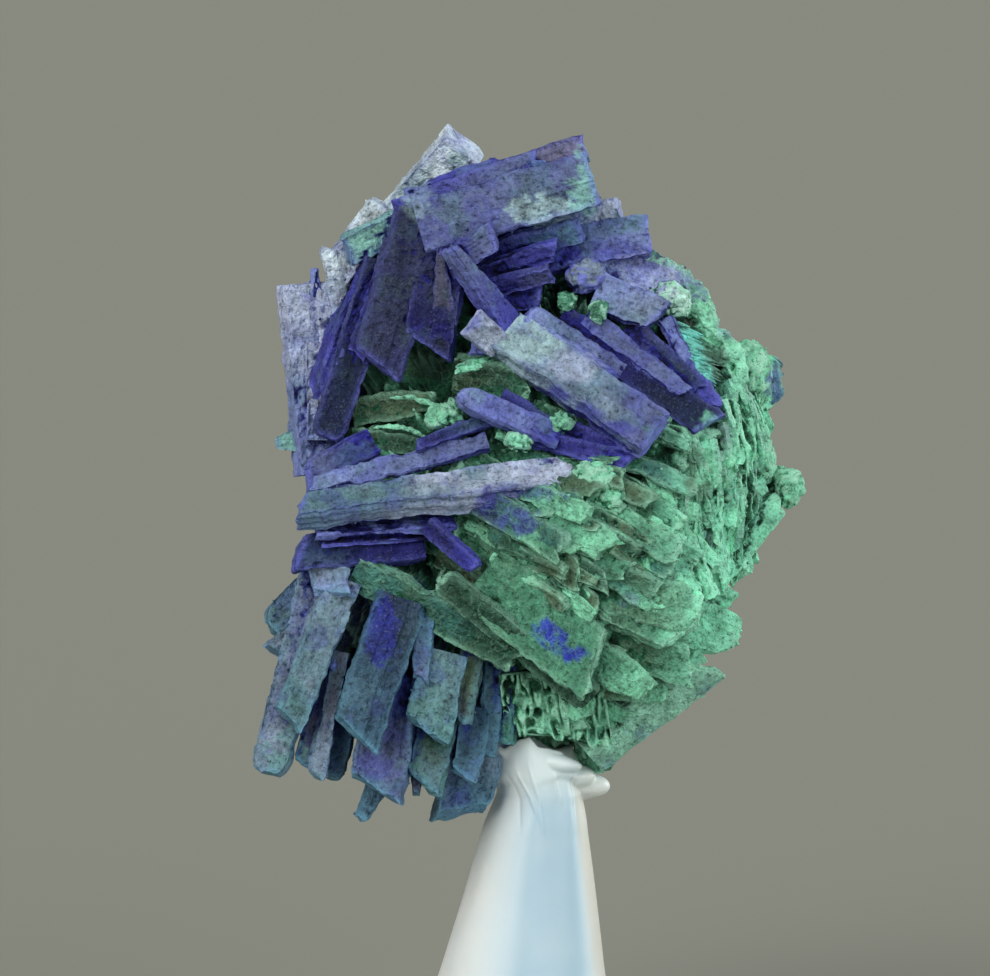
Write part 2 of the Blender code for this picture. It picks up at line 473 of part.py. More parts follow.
def main():
    for obj in list(bpy.data.objects):
        bpy.data.objects.remove(obj, do_unlink=True)

    specimen = new_collection("azurite_specimen")
    cutters = new_collection("cutters")
    grown = new_collection("grown_blades")

    crystal = finish_material("azurite", (0.13, 0.14, 0.42), 0.62)
    putty = finish_material("putty", (0.62, 0.72, 0.78), 0.38)

    # The crystals: every blade, leaf and knob is grown into the mass, as one solid.
    cluster = new_object("azurite_cluster", lump_bmesh(MASS_LOBES[0], 0.0), specimen, crystal)
    for index, lump in enumerate(MASS_LOBES[1:] + KNOBS):
        new_object(lump.name, lump_bmesh(lump, 1.3 * (index + 1)), grown)
    blades = TOP_BLADES + CENTRE_BLADES + LOWER_BLADES + MALACHITE_LEAVES
    for blade in list(blades) + rib_blades() + back_blades():
        new_object(blade.name, blade_bmesh(blade), grown)
    boolean(cluster, "UNION", collection=grown)

    # The putty: a cone with a pinched lip and a lump squeezed out at its right.
    stand = putty_body("putty_stand", specimen)
    lump = Lump("squeezed_lump", *PUTTY_LUMP, 2)
    squeezed = new_object(lump.name, lump_bmesh(lump, 0.4), cutters)
    boolean(stand, "UNION", other=squeezed)
    stand.data.materials.clear()
    stand.data.materials.append(putty)

    # The crystals sit in the putty with a small gap all round.
    socket = putty_body("putty_socket", cutters, PUTTY_GAP)
    wide = Lump("lump_socket", PUTTY_LUMP[0], tuple(r + PUTTY_GAP for r in PUTTY_LUMP[1]), 2)
    lump_socket = new_object(wide.name, lump_bmesh(wide, 0.4), cutters)
    boolean(socket, "UNION", other=lump_socket)
    boolean(cluster, "DIFFERENCE", other=socket)
    keep_outer_skin(cluster)
    cluster.data.materials.clear()
    cluster.data.materials.append(crystal)

    for obj in list(grown.objects):
        bpy.data.objects.remove(obj, do_unlink=True)
    bpy.data.collections.remove(grown)
    for obj in cutters.objects:
        obj.hide_render = True
        obj.display_type = "WIRE"


main()
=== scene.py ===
# %% [markdown]
# # A bladed azurite specimen on its putty cone
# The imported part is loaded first: two solids, the grown cluster and the cone that holds it.
# Everything after this dresses them.  The blades are made again as fine surfaces at the very
# places where the solid has them, so the dressed stone fills the same space as the solid one.

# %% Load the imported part
import math
import random
from collections import namedtuple

import bpy
import numpy as np
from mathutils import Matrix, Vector


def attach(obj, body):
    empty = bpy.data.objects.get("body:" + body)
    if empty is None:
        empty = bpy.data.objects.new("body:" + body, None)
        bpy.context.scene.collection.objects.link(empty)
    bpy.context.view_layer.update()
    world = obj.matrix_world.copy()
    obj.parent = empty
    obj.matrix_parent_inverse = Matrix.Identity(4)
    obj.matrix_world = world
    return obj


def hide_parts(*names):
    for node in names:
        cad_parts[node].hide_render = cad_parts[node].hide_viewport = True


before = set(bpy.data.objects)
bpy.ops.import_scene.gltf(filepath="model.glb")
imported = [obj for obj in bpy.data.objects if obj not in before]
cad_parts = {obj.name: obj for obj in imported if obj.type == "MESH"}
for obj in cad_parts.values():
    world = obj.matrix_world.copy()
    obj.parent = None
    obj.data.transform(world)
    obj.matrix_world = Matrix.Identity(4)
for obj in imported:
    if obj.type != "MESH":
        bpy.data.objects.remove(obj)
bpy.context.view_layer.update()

# %% [markdown]
# ## Where things are
# A rough natural stone has no centre line to measure from, so every crystal is placed the way
# it is seen: so many millimetres right and up in the picture, and so many near the eye.  One
# function turns such a point into a place in the room.  The eye is 400 mm away and looks
# down by 6 degrees, and a thing nearer to it is drawn in by its share of that distance.

# %% From the picture to the room
MM = 0.001
VIEW_DISTANCE = 400.0
LEAN = math.radians(6.0)
AIM_RIGHT = -1.25
AIM_UP = 32.6
SET_BACK = 3.0
SIDEWAYS = np.array((1.0, 0.0, 0.0))
TOWARDS_EYE = np.array((0.0, -math.cos(LEAN), math.sin(LEAN)))
PICTURE_UP = np.array((0.0, math.sin(LEAN), math.cos(LEAN)))


def from_front(point):
    """Room millimetres of a (right, up, near) point: shrink = (distance - near) / distance
    pulls it to the line of sight, then up and near are turned by the lean of the eye."""
    right, up, near = point
    near = near - SET_BACK
    shrink = (VIEW_DISTANCE - near) / VIEW_DISTANCE
    across = AIM_RIGHT + (right - AIM_RIGHT) * shrink
    rise = (up - AIM_UP) * shrink
    back = rise * math.sin(LEAN) - near * math.cos(LEAN)
    height = AIM_UP + rise * math.cos(LEAN) + near * math.sin(LEAN)
    return np.array((across, back, height))


def picture_place(points):
    """Right, up and near of room points: the inverse of from_front, on whole arrays."""
    away = points - np.array((AIM_RIGHT, 0.0, AIM_UP))
    near = away @ TOWARDS_EYE
    shrink = (VIEW_DISTANCE - near) / VIEW_DISTANCE
    return AIM_RIGHT + away[..., 0] / shrink, AIM_UP + (away @ PICTURE_UP) / shrink, near + SET_BACK


print("the stone's heart is at", from_front((0.0, 32.0, -2.0)).round(2), "mm")

# %% [markdown]
# ## Random but repeatable relief
# Stone is rough at every size.  Value noise gives that: each corner of a lattice gets a
# fixed random number, and a point between corners blends the eight around it.  Whole arrays of
# points go through at once, so a hundred thousand points take a blink.

# %% Noise on whole arrays
def lattice(cells, seed):
    """A number from 0 to 1 for each lattice corner: the far digits of a sine of its indices."""
    mixed = np.sin(cells @ np.array((127.1, 311.7, 74.7)) + seed * 53.3) * 43758.5453
    return mixed - np.floor(mixed)


def noise(points, size, seed=0.0):
    """Smooth values from -1 to 1: lattice numbers blended by 3t^2 - 2t^3 along each axis."""
    scaled = points / size
    cell = np.floor(scaled)
    part = scaled - cell
    part = part * part * (3.0 - 2.0 * part)
    total = np.zeros(points.shape[:-1])
    for corner in np.ndindex(2, 2, 2):
        corner = np.array(corner, dtype=float)
        weight = np.prod(np.where(corner > 0.5, part, 1.0 - part), axis=-1)
        total += weight * lattice(cell + corner, seed)
    return total * 2.0 - 1.0


def drawn_out(points, scale, size, seed):
    """Noise with another scale along each axis; along an axis with scale 0 it stays the same."""
    return noise(points * np.array(scale), size, seed)


def rough(points, size, seed=0.0, octaves=3):
    """Noise added up: each layer has half the size and half the height of the one before."""
    total = np.zeros(points.shape[:-1])
    for layer in range(octaves):
        total += noise(points, size / 2 ** layer, seed + 7.7 * layer) / 2 ** layer
    return total / (2.0 - 1.0 / 2 ** (octaves - 1))


def crests(points, size, seed=0.0, sharp=2.2):
    """Ridges from 0 to 1 where noise passes through zero: 1 - sharp |noise|."""
    return np.clip(1.0 - sharp * np.abs(noise(points, size, seed)), 0.0, 1.0)


sample = rough(np.random.default_rng(3).uniform(0, 40, (20000, 3)), 2.0)
print("noise runs from", sample.min().round(2), "to", sample.max().round(2))

# %% Steps, mixes and directions
def ease(low, high, values):
    """0 below low, 1 above high, and a smooth step between."""
    part = np.clip((values - low) / (high - low), 0.0, 1.0)
    return part * part * (3.0 - 2.0 * part)


def towards(first, second, share):
    """Colours that go from first to second, each point by its own share."""
    return first + (second - first) * share[..., None]


def unit(vectors):
    """The same directions with length 1."""
    return vectors / np.linalg.norm(vectors, axis=-1, keepdims=True)


def rolled(facing, along, angle):
    """A direction square to along, turned about it by an angle (Rodrigues' formula)."""
    return facing * np.cos(angle) + np.cross(along, facing) * np.sin(angle)


def exit_distance(offset, ray):
    """Where a ray leaves the sphere of radius 1: the larger root t of |offset + t ray| = 1, or
    0 where the ray misses it."""
    a = (ray ** 2).sum(axis=-1)
    b = (ray * offset).sum(axis=-1)
    inside = b ** 2 - a * ((offset ** 2).sum(axis=-1) - 1.0)
    return np.where(inside > 0.0, (-b + np.sqrt(np.maximum(inside, 0.0))) / a, 0.0)


print("halfway up a smooth step:", ease(0.0, 1.0, 0.5))

# %% [markdown]
# ## Tables
# The stone is described by tables of tones, patches, blades, leaves and knobs.  Each is written
# as text, one thing to a line, and one function turns the lines into named values.

# %% Tables from text
def table(kind, forms, text):
    """Reads a table.  Each field has a form that says what it takes from its line: 0 is one
    word, 1 is one number, and 3 is three numbers that belong together."""
    made = []
    for line in text.strip().splitlines():
        words = iter(line.split())
        fields = []
        for form in forms:
            part = tuple(float(next(words)) for _ in range(form)) or next(words)
            fields.append(part[0] if form == 1 else part)
        made.append(kind(*fields))
    return made


Tone = namedtuple("Tone", "name colour")
Patch = namedtuple("Patch", "right up wide tall tone strength")
Blade = namedtuple("Blade", "name root tip width thick roll end base top crumble", defaults=(0.0,))
Lump = namedtuple("Lump", "name middle radii tone")
BLADE_FORMS = (0, 3, 3, 1, 1, 1, 0, 0, 0)
print("a blade has", len(BLADE_FORMS), "fields in its table")

# %% [markdown]
# ## Colours of the stone
# Azurite is a deep blue that shows only in cracks and on fresh edges here: the faces are
# dusted grey, lavender or mint where air has reached them.  Malachite is green, paler on its
# rims.  The names are given values from 0 to 255 and turned into linear light.

# %% Palette
def linear(colour):
    """Linear light of an sRGB colour given from 0 to 255."""
    value = np.array(colour) / 255.0
    return np.where(value <= 0.04045, value / 12.92, ((value + 0.055) / 1.055) ** 2.4)


# The near-black tone 12 20 26 is no colour of the stone: it is painted shade for the two hollows.
TONES = {tone.name: linear(tone.colour) for tone in table(Tone, (0, 3), """
slate 96 108 150
slate_dark 58 64 104
violet 66 68 156
indigo 26 24 98
royal 46 58 186
night 12 20 26
night_blue 22 36 66
ultramarine 38 38 144
navy 40 58 100
deep_steel 42 62 86
steel 56 86 108
dusk 46 52 84
lavender 130 148 198
pale 182 194 218
pale_mint 156 186 192
teal 78 116 138
dark_teal 36 66 90
green_bar 92 140 136
grey 126 143 164
grey_green 92 126 134
brown_grey 76 78 98
mauve 114 114 144
mint 154 244 206
leaf 78 142 113
leaf_dark 34 76 58
leaf_brown 80 102 76
olive 58 76 54
chalk 212 230 238
mint_grey 134 190 178
sail 158 218 192
mint_pale 200 248 230
cyan 96 206 200
leaf_pale 136 218 180
leaf_teal 58 116 110
""")}
print(len(TONES), "named tones")

# %% [markdown]
# Some colours lie on the stone in patches: blue left on a green leaf, mint on the end of
# a grey blade.  Each is a spot seen in the picture, with a ragged rim.  Its line gives the
# place right and up, how wide and tall it is, its tone, and how much it covers.

# %% Patches
# The two near-black patches, at 39.2 and 38.8 mm up, are painted shade laid over the dark hollows.
PATCHES = table(Patch, (1, 1, 1, 1, 0, 1), """
1 46.5 2 1 pale_mint 0.9
3.3 47.9 1 2.2 mint_grey 0.8
-3.2 49.2 0.7 0.8 green_bar 0.6
-5.2 47.2 0.9 1.4 pale_mint 0.5
1.3 25.4 0.8 0.75 royal 0.95
1.9 24.9 0.9 0.7 royal 0.9
2.8 24.3 0.8 0.5 royal 0.95
-0.2 30.9 1.4 0.8 violet 0.8
-1.9 32 0.8 0.7 violet 0.7
-4.7 39.1 0.6 0.6 leaf 0.8
9 32.5 0.6 0.7 leaf_brown 0.8
6.6 35.4 0.7 0.8 green_bar 0.7
9.4 36 0.9 0.6 mint 0.5
1.7 37.3 1.1 0.5 violet 0.85
3.3 36.4 1.2 0.55 ultramarine 0.7
4.9 35.6 1.1 0.5 violet 0.8
2.6 38.7 1.6 1 pale 0.5
0 32.3 3.4 0.45 violet 0.6
5.5 45.8 1.2 0.7 green_bar 0.5
7 28.2 0.9 0.6 leaf_teal 0.6
5.4 27 0.8 0.5 slate 0.5
-11.4 19.6 1 1.4 green_bar 0.6
-11.2 22.2 0.8 1.2 green_bar 0.5
-12.3 18.9 0.8 1.2 green_bar 0.7
-7.4 17.6 1.4 0.8 teal 0.6
-6.8 25.4 1.2 2.1 ultramarine 0.7
-7.9 22.6 1.2 1.4 teal 0.4
13 37.8 0.8 1.9 violet 0.85
10.6 41.2 1 1.4 lavender 0.6
7.8 43.5 3 1.5 pale 0.85
6 44.2 2 0.9 violet 0.5
9 42.6 1.2 0.9 mint_grey 0.6
8.6 33.6 0.7 1.5 leaf_brown 0.7
-7.3 18.6 1.2 0.9 violet 0.5
-3 16.6 1.3 0.8 violet 0.45
-4.3 39.2 1.8 1 night 0.85
9.75 38.8 0.75 1.3 night 0.9
6.6 43.2 1.6 1 royal 0.35
9 43.6 1.8 1.6 lavender 0.8
""")
PATCHED_FROM = -3.0


def with_patches(points, tone):
    """Tones with the patches on: 1 - (distance / size)^2 plus noise, eased, on the front only."""
    right, up, near = picture_place(points)
    ragged = 0.45 * noise(points, 0.55, 61.0) + 0.55 * noise(points, 0.22, 62.0)
    for patch in PATCHES:
        away = ((right - patch.right) / patch.wide) ** 2 + ((up - patch.up) / patch.tall) ** 2
        cover = ease(0.15, 0.75, 1.0 - away + ragged) * (near > PATCHED_FROM) * patch.strength
        tone = towards(tone, TONES[patch.tone], cover)
    return tone


print(len(PATCHES), "patches")

# %% Brighter towards the right: paler malachite and painted rim light
FLANK_MINT_FROM, FLANK_MINT_TO = 6.0, 10.0


def flank_mint_and_light(points, tone, strength=1.0):
    """Going right, the tone turns towards mint: partly the paler malachite of the right flank, partly
    painted light from the right.
    """
    right, up, near = picture_place(points)
    # Painted light in part: this mint share also stands for the light on the right flank.
    brightened = ease(FLANK_MINT_FROM, FLANK_MINT_TO, right + 0.8 * noise(points, 1.5, 71.0)) * ease(19.0, 24.0, up)
    return towards(tone, TONES["mint"], brightened * strength)


print("malachite is fresh from", FLANK_MINT_FROM, "to", FLANK_MINT_TO, "mm to the right of the middle")

# %% [markdown]
# ## One surface, carried along a path
# Every blade, leaf and knob is the same kind of surface: a ring of points carried along a
# line, closed at both ends by a point.  The helper below gives its faces, so a new shape only
# has to say where its points are.

# %% Rings into faces
Shell = namedtuple("Shell", "points quads fans tone edge worn")


def ring_faces(rings, around):
    """Four-sided faces between neighbouring rings, and fans from the two end points.  Point
    0 is the first end, then ring by ring, and the last point is the other end."""
    ring = np.arange(rings - 1)[:, None]
    step = np.arange(around)[None, :]
    here = 1 + ring * around + step
    beside = 1 + ring * around + (step + 1) % around
    quads = np.stack((here, beside, beside + around, here + around), axis=-1).reshape(-1, 4)
    step = np.arange(around)
    after = (step + 1) % around
    base = 1 + (rings - 1) * around
    first = np.stack((np.zeros_like(step), 1 + after, 1 + step), axis=-1)
    last = np.stack((np.full_like(step, 1 + rings * around), base + step, base + after), axis=-1)
    return quads, np.concatenate((first, last))


def both_ends(values):
    """Values of the rings in one line, with the first and last one repeated for the ends."""
    return np.concatenate((values[:1], values, values[-1:]))


def closed_shell(first, rings, last, tone, edge, worn):
    """A shell from its end points, its rings (rings, around, 3) and its values by point: a
    tone, how near an edge it is, and how far it stands out of the relief."""
    quads, fans = ring_faces(rings.shape[0], rings.shape[1])
    points = np.concatenate((first[None], rings.reshape(-1, 3), last[None]))
    return Shell(points, quads, fans, both_ends(with_patches(rings, tone).reshape(-1, 3)),
                 both_ends(edge.reshape(-1)), both_ends(worn.reshape(-1)))


print("three rings of eight points have", [len(faces) for faces in ring_faces(3, 8)], "quads and fans")

# %% Shells into one mesh object
def write_layer(mesh, name, values):
    """Gives the mesh one number for each point."""
    mesh.attributes.new(name, "FLOAT", "POINT").data.foreach_set("value", values.astype(np.float32))


def mesh_object(name, shells, material, smooth=True):
    """Joins shells, in room millimetres, into one mesh in metres with its colour values."""
    offsets = np.cumsum([0] + [len(shell.points) for shell in shells])[:-1]
    points = np.concatenate([shell.points for shell in shells]) * MM
    quads = np.concatenate([shell.quads + start for shell, start in zip(shells, offsets)])
    fans = np.concatenate([shell.fans + start for shell, start in zip(shells, offsets)])
    corners = np.concatenate((quads.ravel(), fans.ravel())).astype(np.int32)
    starts = np.concatenate((np.arange(len(quads)) * 4, len(quads) * 4 + np.arange(len(fans)) * 3))
    mesh = bpy.data.meshes.new(name)
    mesh.vertices.add(len(points))
    mesh.vertices.foreach_set("co", points.astype(np.float32).ravel())
    mesh.loops.add(len(corners))
    mesh.loops.foreach_set("vertex_index", corners)
    mesh.polygons.add(len(starts))
    mesh.polygons.foreach_set("loop_start", starts.astype(np.int32))
    mesh.update(calc_edges=True)
    tone = np.concatenate([shell.tone for shell in shells])
    tone = np.clip(np.concatenate((tone, np.ones((len(tone), 1))), axis=1), 0.0, 1.0)
    colours = mesh.color_attributes.new("tone", "FLOAT_COLOR", "POINT")
    colours.data.foreach_set("color", tone.astype(np.float32).ravel())
    for layer in ("edge", "worn"):
        write_layer(mesh, layer, np.concatenate([getattr(shell, layer) for shell in shells]))
    mesh.polygons.foreach_set("use_smooth", np.full(len(starts), smooth))
    mesh.materials.append(material)
    obj = bpy.data.objects.new(name, mesh)
    bpy.context.scene.collection.objects.link(obj)
    print(f"{name}: {len(shells)} shells, {len(quads) * 2 + len(fans)} triangles")
    return obj

# %% [markdown]
# ## A blade of azurite
# Azurite grows as flat blades like slats, built of thin layers.  A box would give the outline,
# but a real blade is striped along its length, its narrow sides show the layers as grooves,
# and its faces are pitted.  So a chamfered rectangle is carried along the blade with many
# points across its broad face, and each kind of relief is added where it belongs.

# %% The outline of a blade's cut
def section(width, thick, front, side, behind):
    """A chamfered rectangle as points from -1 to 1, with the way each side faces.  It runs
    along the front face, down the right side, back along the rear face and up the left."""
    cut = min(0.055, 0.15 * thick, 0.08 * width)
    inset_x = 1.0 - cut / (width * 0.5)
    inset_z = 1.0 - cut / (thick * 0.5)
    ones_f, ones_s, ones_b = np.ones(front), np.ones(side), np.ones(behind)
    x = np.concatenate((np.linspace(-inset_x, inset_x, front), ones_s,
                        np.linspace(inset_x, -inset_x, behind), -ones_s))
    z = np.concatenate((ones_f, np.linspace(inset_z, -inset_z, side),
                        -ones_b, np.linspace(-inset_z, inset_z, side)))
    face_x = np.concatenate((ones_f * 0, ones_s, ones_b * 0, -ones_s))
    face_z = np.concatenate((ones_f, ones_s * 0, -ones_b, ones_s * 0))
    return x, z, face_x, face_z


print("points round a blade:", len(section(2.0, 1.0, 16, 5, 6)[0]))

# %% Where a blade lies
END_LENGTH = 0.02


def blade_place(blade):
    """Root, length and unit directions of a blade: along it, out of its broad face and across
    it.  The face looks at the eye, turned about the length by the roll."""
    root = from_front(blade.root)
    run = from_front(blade.tip) - root
    along = unit(run)
    facing = rolled(unit(TOWARDS_EYE - along * (TOWARDS_EYE @ along)), along, math.radians(blade.roll))
    return root, np.linalg.norm(run), along, facing, np.cross(along, facing)


def carried(place, x, y, z):
    """The first end point, the rings and the last end point of a surface whose points lie x
    across, y along and z out of the face of a place."""
    root, length, along, facing, across = place
    rings = root + x[..., None] * across + y[..., None] * along + z[..., None] * facing
    return root - along * END_LENGTH, rings, rings[-1].mean(axis=0) + along * END_LENGTH


TRIAL = Blade("trial", (0, 30, 0), (0, 40, 0), 2.0, 1.0, 0, "chisel", "slate", "mint")
print("a trial blade is", blade_place(TRIAL)[1].round(2), "mm long in the room")

# %% Form, relief and tone of a blade
SLANTS = {"chisel": 1.0, "mirror": -1.0, "leaf": 0.6}
RIM_WIDTH = 0.12


def blade_form(blade, x, z, length, pitch):
    """The smooth blade: the section carried along, thinner towards the tip, which is cut at a
    slant, narrowed to a point or a leaf, or rounded."""
    half, deep = blade.width * 0.5, blade.thick * 0.5
    body = int(np.clip(length / (pitch * 1.2), 14, 110))
    share = np.concatenate(((0.0, 0.0), np.linspace(0.0, 1.0, body), (1.0, 1.0)))[:, None]
    inset = np.concatenate(((0.4, 0.85), np.ones(body - 1), (0.95, 0.8, 0.4)))[:, None]
    x = x[None, :] * half * inset
    z = z[None, :] * deep * inset * (1.0 - 0.18 * share)
    slant = SLANTS.get(blade.end, 0.0)
    reach = length - (slant * x + half) * 0.45 * abs(slant)
    y = share * reach
    if blade.end == "point":
        x = x * (1.0 - 0.78 * share)
    if blade.end == "leaf":
        x = x * (1.0 - 0.35 * ease(0.55, 1.0, share))
    if blade.end == "round":
        near_tip = np.clip((y - (length - half * 0.9)) / (half * 0.9), 0.0, 1.0)
        x = x * (1.0 - 0.1 * share) * (0.45 + 0.55 * np.sqrt(1.0 - 0.98 * near_tip ** 2))
    return x, y, z, share, reach


def blade_relief(spot, crumble):
    """Height of an azurite face: stripes along the length, low steps where a layer ends, fine
    roughness, and pits where noise is highest.  Crumbled blades are rougher and more pitted."""
    stripes = drawn_out(spot, (4.2, 0.3, 0.0), 1.0, 1.0) * 0.04
    stripes += drawn_out(spot, (9.0, 0.7, 0.0), 1.0, 1.2) * 0.025
    steps = np.tanh(drawn_out(spot, (0.9, 0.3, 0.6), 1.0, 1.5) * 16.0) * 0.08
    grain = noise(spot, 0.42, 2.5) * 0.04 + noise(spot, 0.2, 3.5) * 0.035
    pits = np.clip(noise(spot, 0.23, 4.5) - 0.36 + 0.12 * crumble, 0.0, 1.0) * -0.26
    crumbs = (rough(spot, 0.8, 6.5) * 0.2 + crests(spot, 0.42, 7.5) * 0.1) * crumble
    return stripes + steps + grain + pits + crumbs


def blade_tone(blade, spot, share, leafy):
    """The root's tone turning to the tip's, with two kinds of stain, each made as light or
    dark as the ground it lies on."""
    mix = ease(0.1, 0.95, share + 0.3 * noise(spot, 1.4, 3.0))
    tone = towards(TONES[blade.base], TONES[blade.top], mix)
    stains = ("leaf_brown", "leaf_pale") if leafy else ("violet", "grey_green")
    first = ease(0.1, 0.55, noise(spot, 1.0, 31.0) + 0.5 * noise(spot, 0.3, 32.0)) * 0.32
    second = ease(0.15, 0.6, noise(spot, 1.2, 33.0) + 0.5 * noise(spot, 0.3, 34.0)) * 0.42
    for stain, cover in zip(stains, (first, second)):
        level = np.clip(1.3 * tone.mean(axis=-1, keepdims=True) / TONES[stain].mean(), 0.12, 1.1)
        tone = towards(tone, TONES[stain] * level, cover)
    return tone


bare = section(TRIAL.width, TRIAL.thick, 16, 5, 6)
print("its smooth form has", blade_form(TRIAL, bare[0], bare[1], 10.0, 0.11)[0].shape, "rings and points")

# %% The blade itself
def blade_shell(blade, seed, pitch=0.11, place=None):
    """A blade: its outline is chipped, its narrow sides are grooved by layers, its tip is ragged
    and the relief lifts its faces.  Leaves are torn more than azurite, and pale tones, which
    are crust, stand out as worn and have a fainter edge."""
    place = place or blade_place(blade)
    half, deep = blade.width * 0.5, blade.thick * 0.5
    leafy = blade.base.startswith("leaf") or blade.base == "olive"
    torn = 1.0 if leafy else 0.55
    front = int(np.clip(blade.width / pitch, 8, 26))
    side = int(np.clip(blade.thick / pitch, 4, 11))
    x, z, face_x, face_z = section(blade.width, blade.thick, front, side, max(5, front // 3))
    x, y, z, share, reach = blade_form(blade, x, z, place[1], pitch)
    shift = seed * np.array((17.3, 5.9, 11.1))
    spot = np.stack(np.broadcast_arrays(x, y, z), axis=-1) + shift
    rim_line = np.stack(np.broadcast_arrays(np.sign(x) * 7.0, y, z * 0.25), axis=-1) + shift
    chips = np.clip(noise(rim_line, 1.1, 21.0) - 0.25, 0.0, 1.0) * -0.5 * torn
    chips += noise(rim_line, 0.5, 22.0) * 0.06 + noise(rim_line, 0.2, 23.0) * 0.035
    x = x * (1.0 + np.maximum(chips / half, -0.4))
    relief = blade_relief(spot, blade.crumble)
    layers = drawn_out(spot, (0.0, 0.35, 4.6), 1.0, 2.0) * 0.11
    layers += drawn_out(spot, (0.0, 0.2, 9.0), 1.0, 4.0) * 0.06
    layers += noise(spot, 0.3, 5.0) * 0.05
    x = x + face_x * layers
    z = z + face_z * relief + drawn_out(spot, (0.0, 1.0, 0.0), 3.6, 9.0) * 0.07
    ragged = drawn_out(spot, (1.0, 0.0, 1.6), 0.6, 6.0) * 0.26 + noise(spot, 0.22, 8.0) * 0.1
    y = y + ragged * torn * ease(0.8, 1.0, share)
    sides = np.abs(face_x) > 0.5
    rim = 1.0 - np.abs(x) / (np.abs(x).max(axis=1, keepdims=True) + 1e-6)
    rim_side = 1.0 - np.abs(z) / (np.abs(z).max() + 1e-6)
    edge = np.where(sides, 0.25 + 0.6 * np.exp(-rim_side * deep / RIM_WIDTH), np.exp(-rim * half / RIM_WIDTH))
    edge = np.maximum(edge, np.exp(-np.abs(reach - y) / 0.14) * (share > 0.6))
    depth = np.where(sides, layers * 3.2, relief * 3.6 / (1.0 + blade.crumble))
    tone = blade_tone(blade, spot, share, leafy)
    crust = ease(0.22, 0.55, tone.mean(axis=-1))
    worn = np.clip(0.55 + depth + 0.6 * crust, 0.0, 1.4)
    first, rings, last = carried(place, x, y, z)
    tone = flank_mint_and_light(rings, tone) if leafy else tone
    return closed_shell(first, rings, last, tone, edge * (1.0 - 0.6 * crust), worn)


trial = blade_shell(TRIAL, 1)
print("one blade has", len(trial.points), "points and", len(trial.quads) * 2 + len(trial.fans), "triangles")

# %% [markdown]
# ## The finishes
# One mineral effect is used by both stones: a deep colour in cracks, which is painted shade over
# the crystal's own deep blue, the crystal's own tone where it is open, a bright rim where an edge
# is thin, partly a paler edge and partly a painted highlight, dust in specks, veins, and dark
# pits.  It is a node group with named inputs, so azurite and malachite are the same recipe with
# other values.  Its pattern is read from the object's own coordinates, in metres, so it stays
# on the stone from every side.

# %% Small helpers for nodes
def feed(tree, node, values):
    """Gives a node's inputs, by name or number, what they take: a socket to link or a value."""
    for name, value in values.items():
        if isinstance(value, bpy.types.NodeSocket):
            tree.links.new(value, node.inputs[name])
        else:
            node.inputs[name].default_value = value


def add_node(tree, kind, values=None, **settings):
    """A node with its settings by name and its inputs fed."""
    made = tree.nodes.new(kind)
    for name, value in settings.items():
        setattr(made, name, value)
    feed(tree, made, values or {})
    return made


def blend(tree, factor, first, second, mode="MIX"):
    """A colour mix."""
    return add_node(tree, "ShaderNodeMix", {0: factor, 6: first, 7: second}, data_type="RGBA",
                    blend_type=mode).outputs[2]


def maths(tree, kind, first, *others):
    """One maths step after another on sockets or plain numbers."""
    for other in others:
        first = add_node(tree, "ShaderNodeMath", {0: first, 1: other}, operation=kind).outputs[0]
    return first


def step(tree, value, low, high):
    """A smooth step from 0 at low to 1 at high."""
    return add_node(tree, "ShaderNodeMapRange", {"Value": value, "From Min": low, "From Max": high},
                    interpolation_type="SMOOTHSTEP").outputs["Result"]


def noise_node(tree, place, scale, detail, roughness=0.5):
    """A noise pattern on the object's coordinates; scale is in cells per metre."""
    return add_node(tree, "ShaderNodeTexNoise", {"Vector": place, "Scale": scale, "Detail": detail,
                                                 "Roughness": roughness}).outputs


def attribute(tree, name, output="Fac"):
    """A value that the mesh carries at its points."""
    return add_node(tree, "ShaderNodeAttribute", attribute_name=name).outputs[output]


def bump(tree, height, strength, distance):
    """A bumped normal from a height; distance is in metres."""
    return add_node(tree, "ShaderNodeBump", {"Height": height, "Strength": strength,
                                             "Distance": distance}).outputs["Normal"]


def new_material(name):
    """A material with its node tree and its shader."""
    material = bpy.data.materials.new(name)
    material.use_nodes = True
    return material, material.node_tree, material.node_tree.nodes["Principled BSDF"]


def solid(colour):
    """A colour socket's value from an sRGB colour given from 0 to 255."""
    return (*linear(colour), 1.0)


print("a mid grey is", round(solid((128, 128, 128))[0], 3), "in linear light")

# %% Veins
def vein_mask(tree, place):
    """Thin crinkled lines, 1 on the line: the borders of cells 0.8 and 0.35 mm wide, whose
    places are bent by noise, so that no line is straight."""
    bend = noise_node(tree, place, 1400.0, 2.0)["Color"]
    shift = add_node(tree, "ShaderNodeVectorMath", {0: bend, "Scale": 0.0009}, operation="SCALE").outputs[0]
    bent = add_node(tree, "ShaderNodeVectorMath", {0: place, 1: shift}, operation="ADD").outputs[0]
    masks = []
    for scale, width, amount in ((1250.0, 0.085, 1.0), (2900.0, 0.1, 0.6)):
        cells = add_node(tree, "ShaderNodeTexVoronoi", {"Vector": bent, "Scale": scale},
                         feature="DISTANCE_TO_EDGE")
        masks.append(maths(tree, "MULTIPLY", step(tree, cells.outputs["Distance"], width, 0.0), amount))
    return maths(tree, "MAXIMUM", *masks)


# %% The weathered and shaded mineral group
GROUP_SOCKETS = {
    "INPUT": (("NodeSocketColor", ("Tone", "Deep", "Vivid", "Rim Highlight", "Dust")),
              ("NodeSocketFloat", ("Open To Light", "Worn", "Edge", "Rim Amount", "Dust Amount", "Pit Amount",
                                   "Vein Amount")),
              ("NodeSocketVector", ("Place",))),
    "OUTPUT": (("NodeSocketColor", ("Color",)), ("NodeSocketFloat", ("Height", "Roughness"))),
}


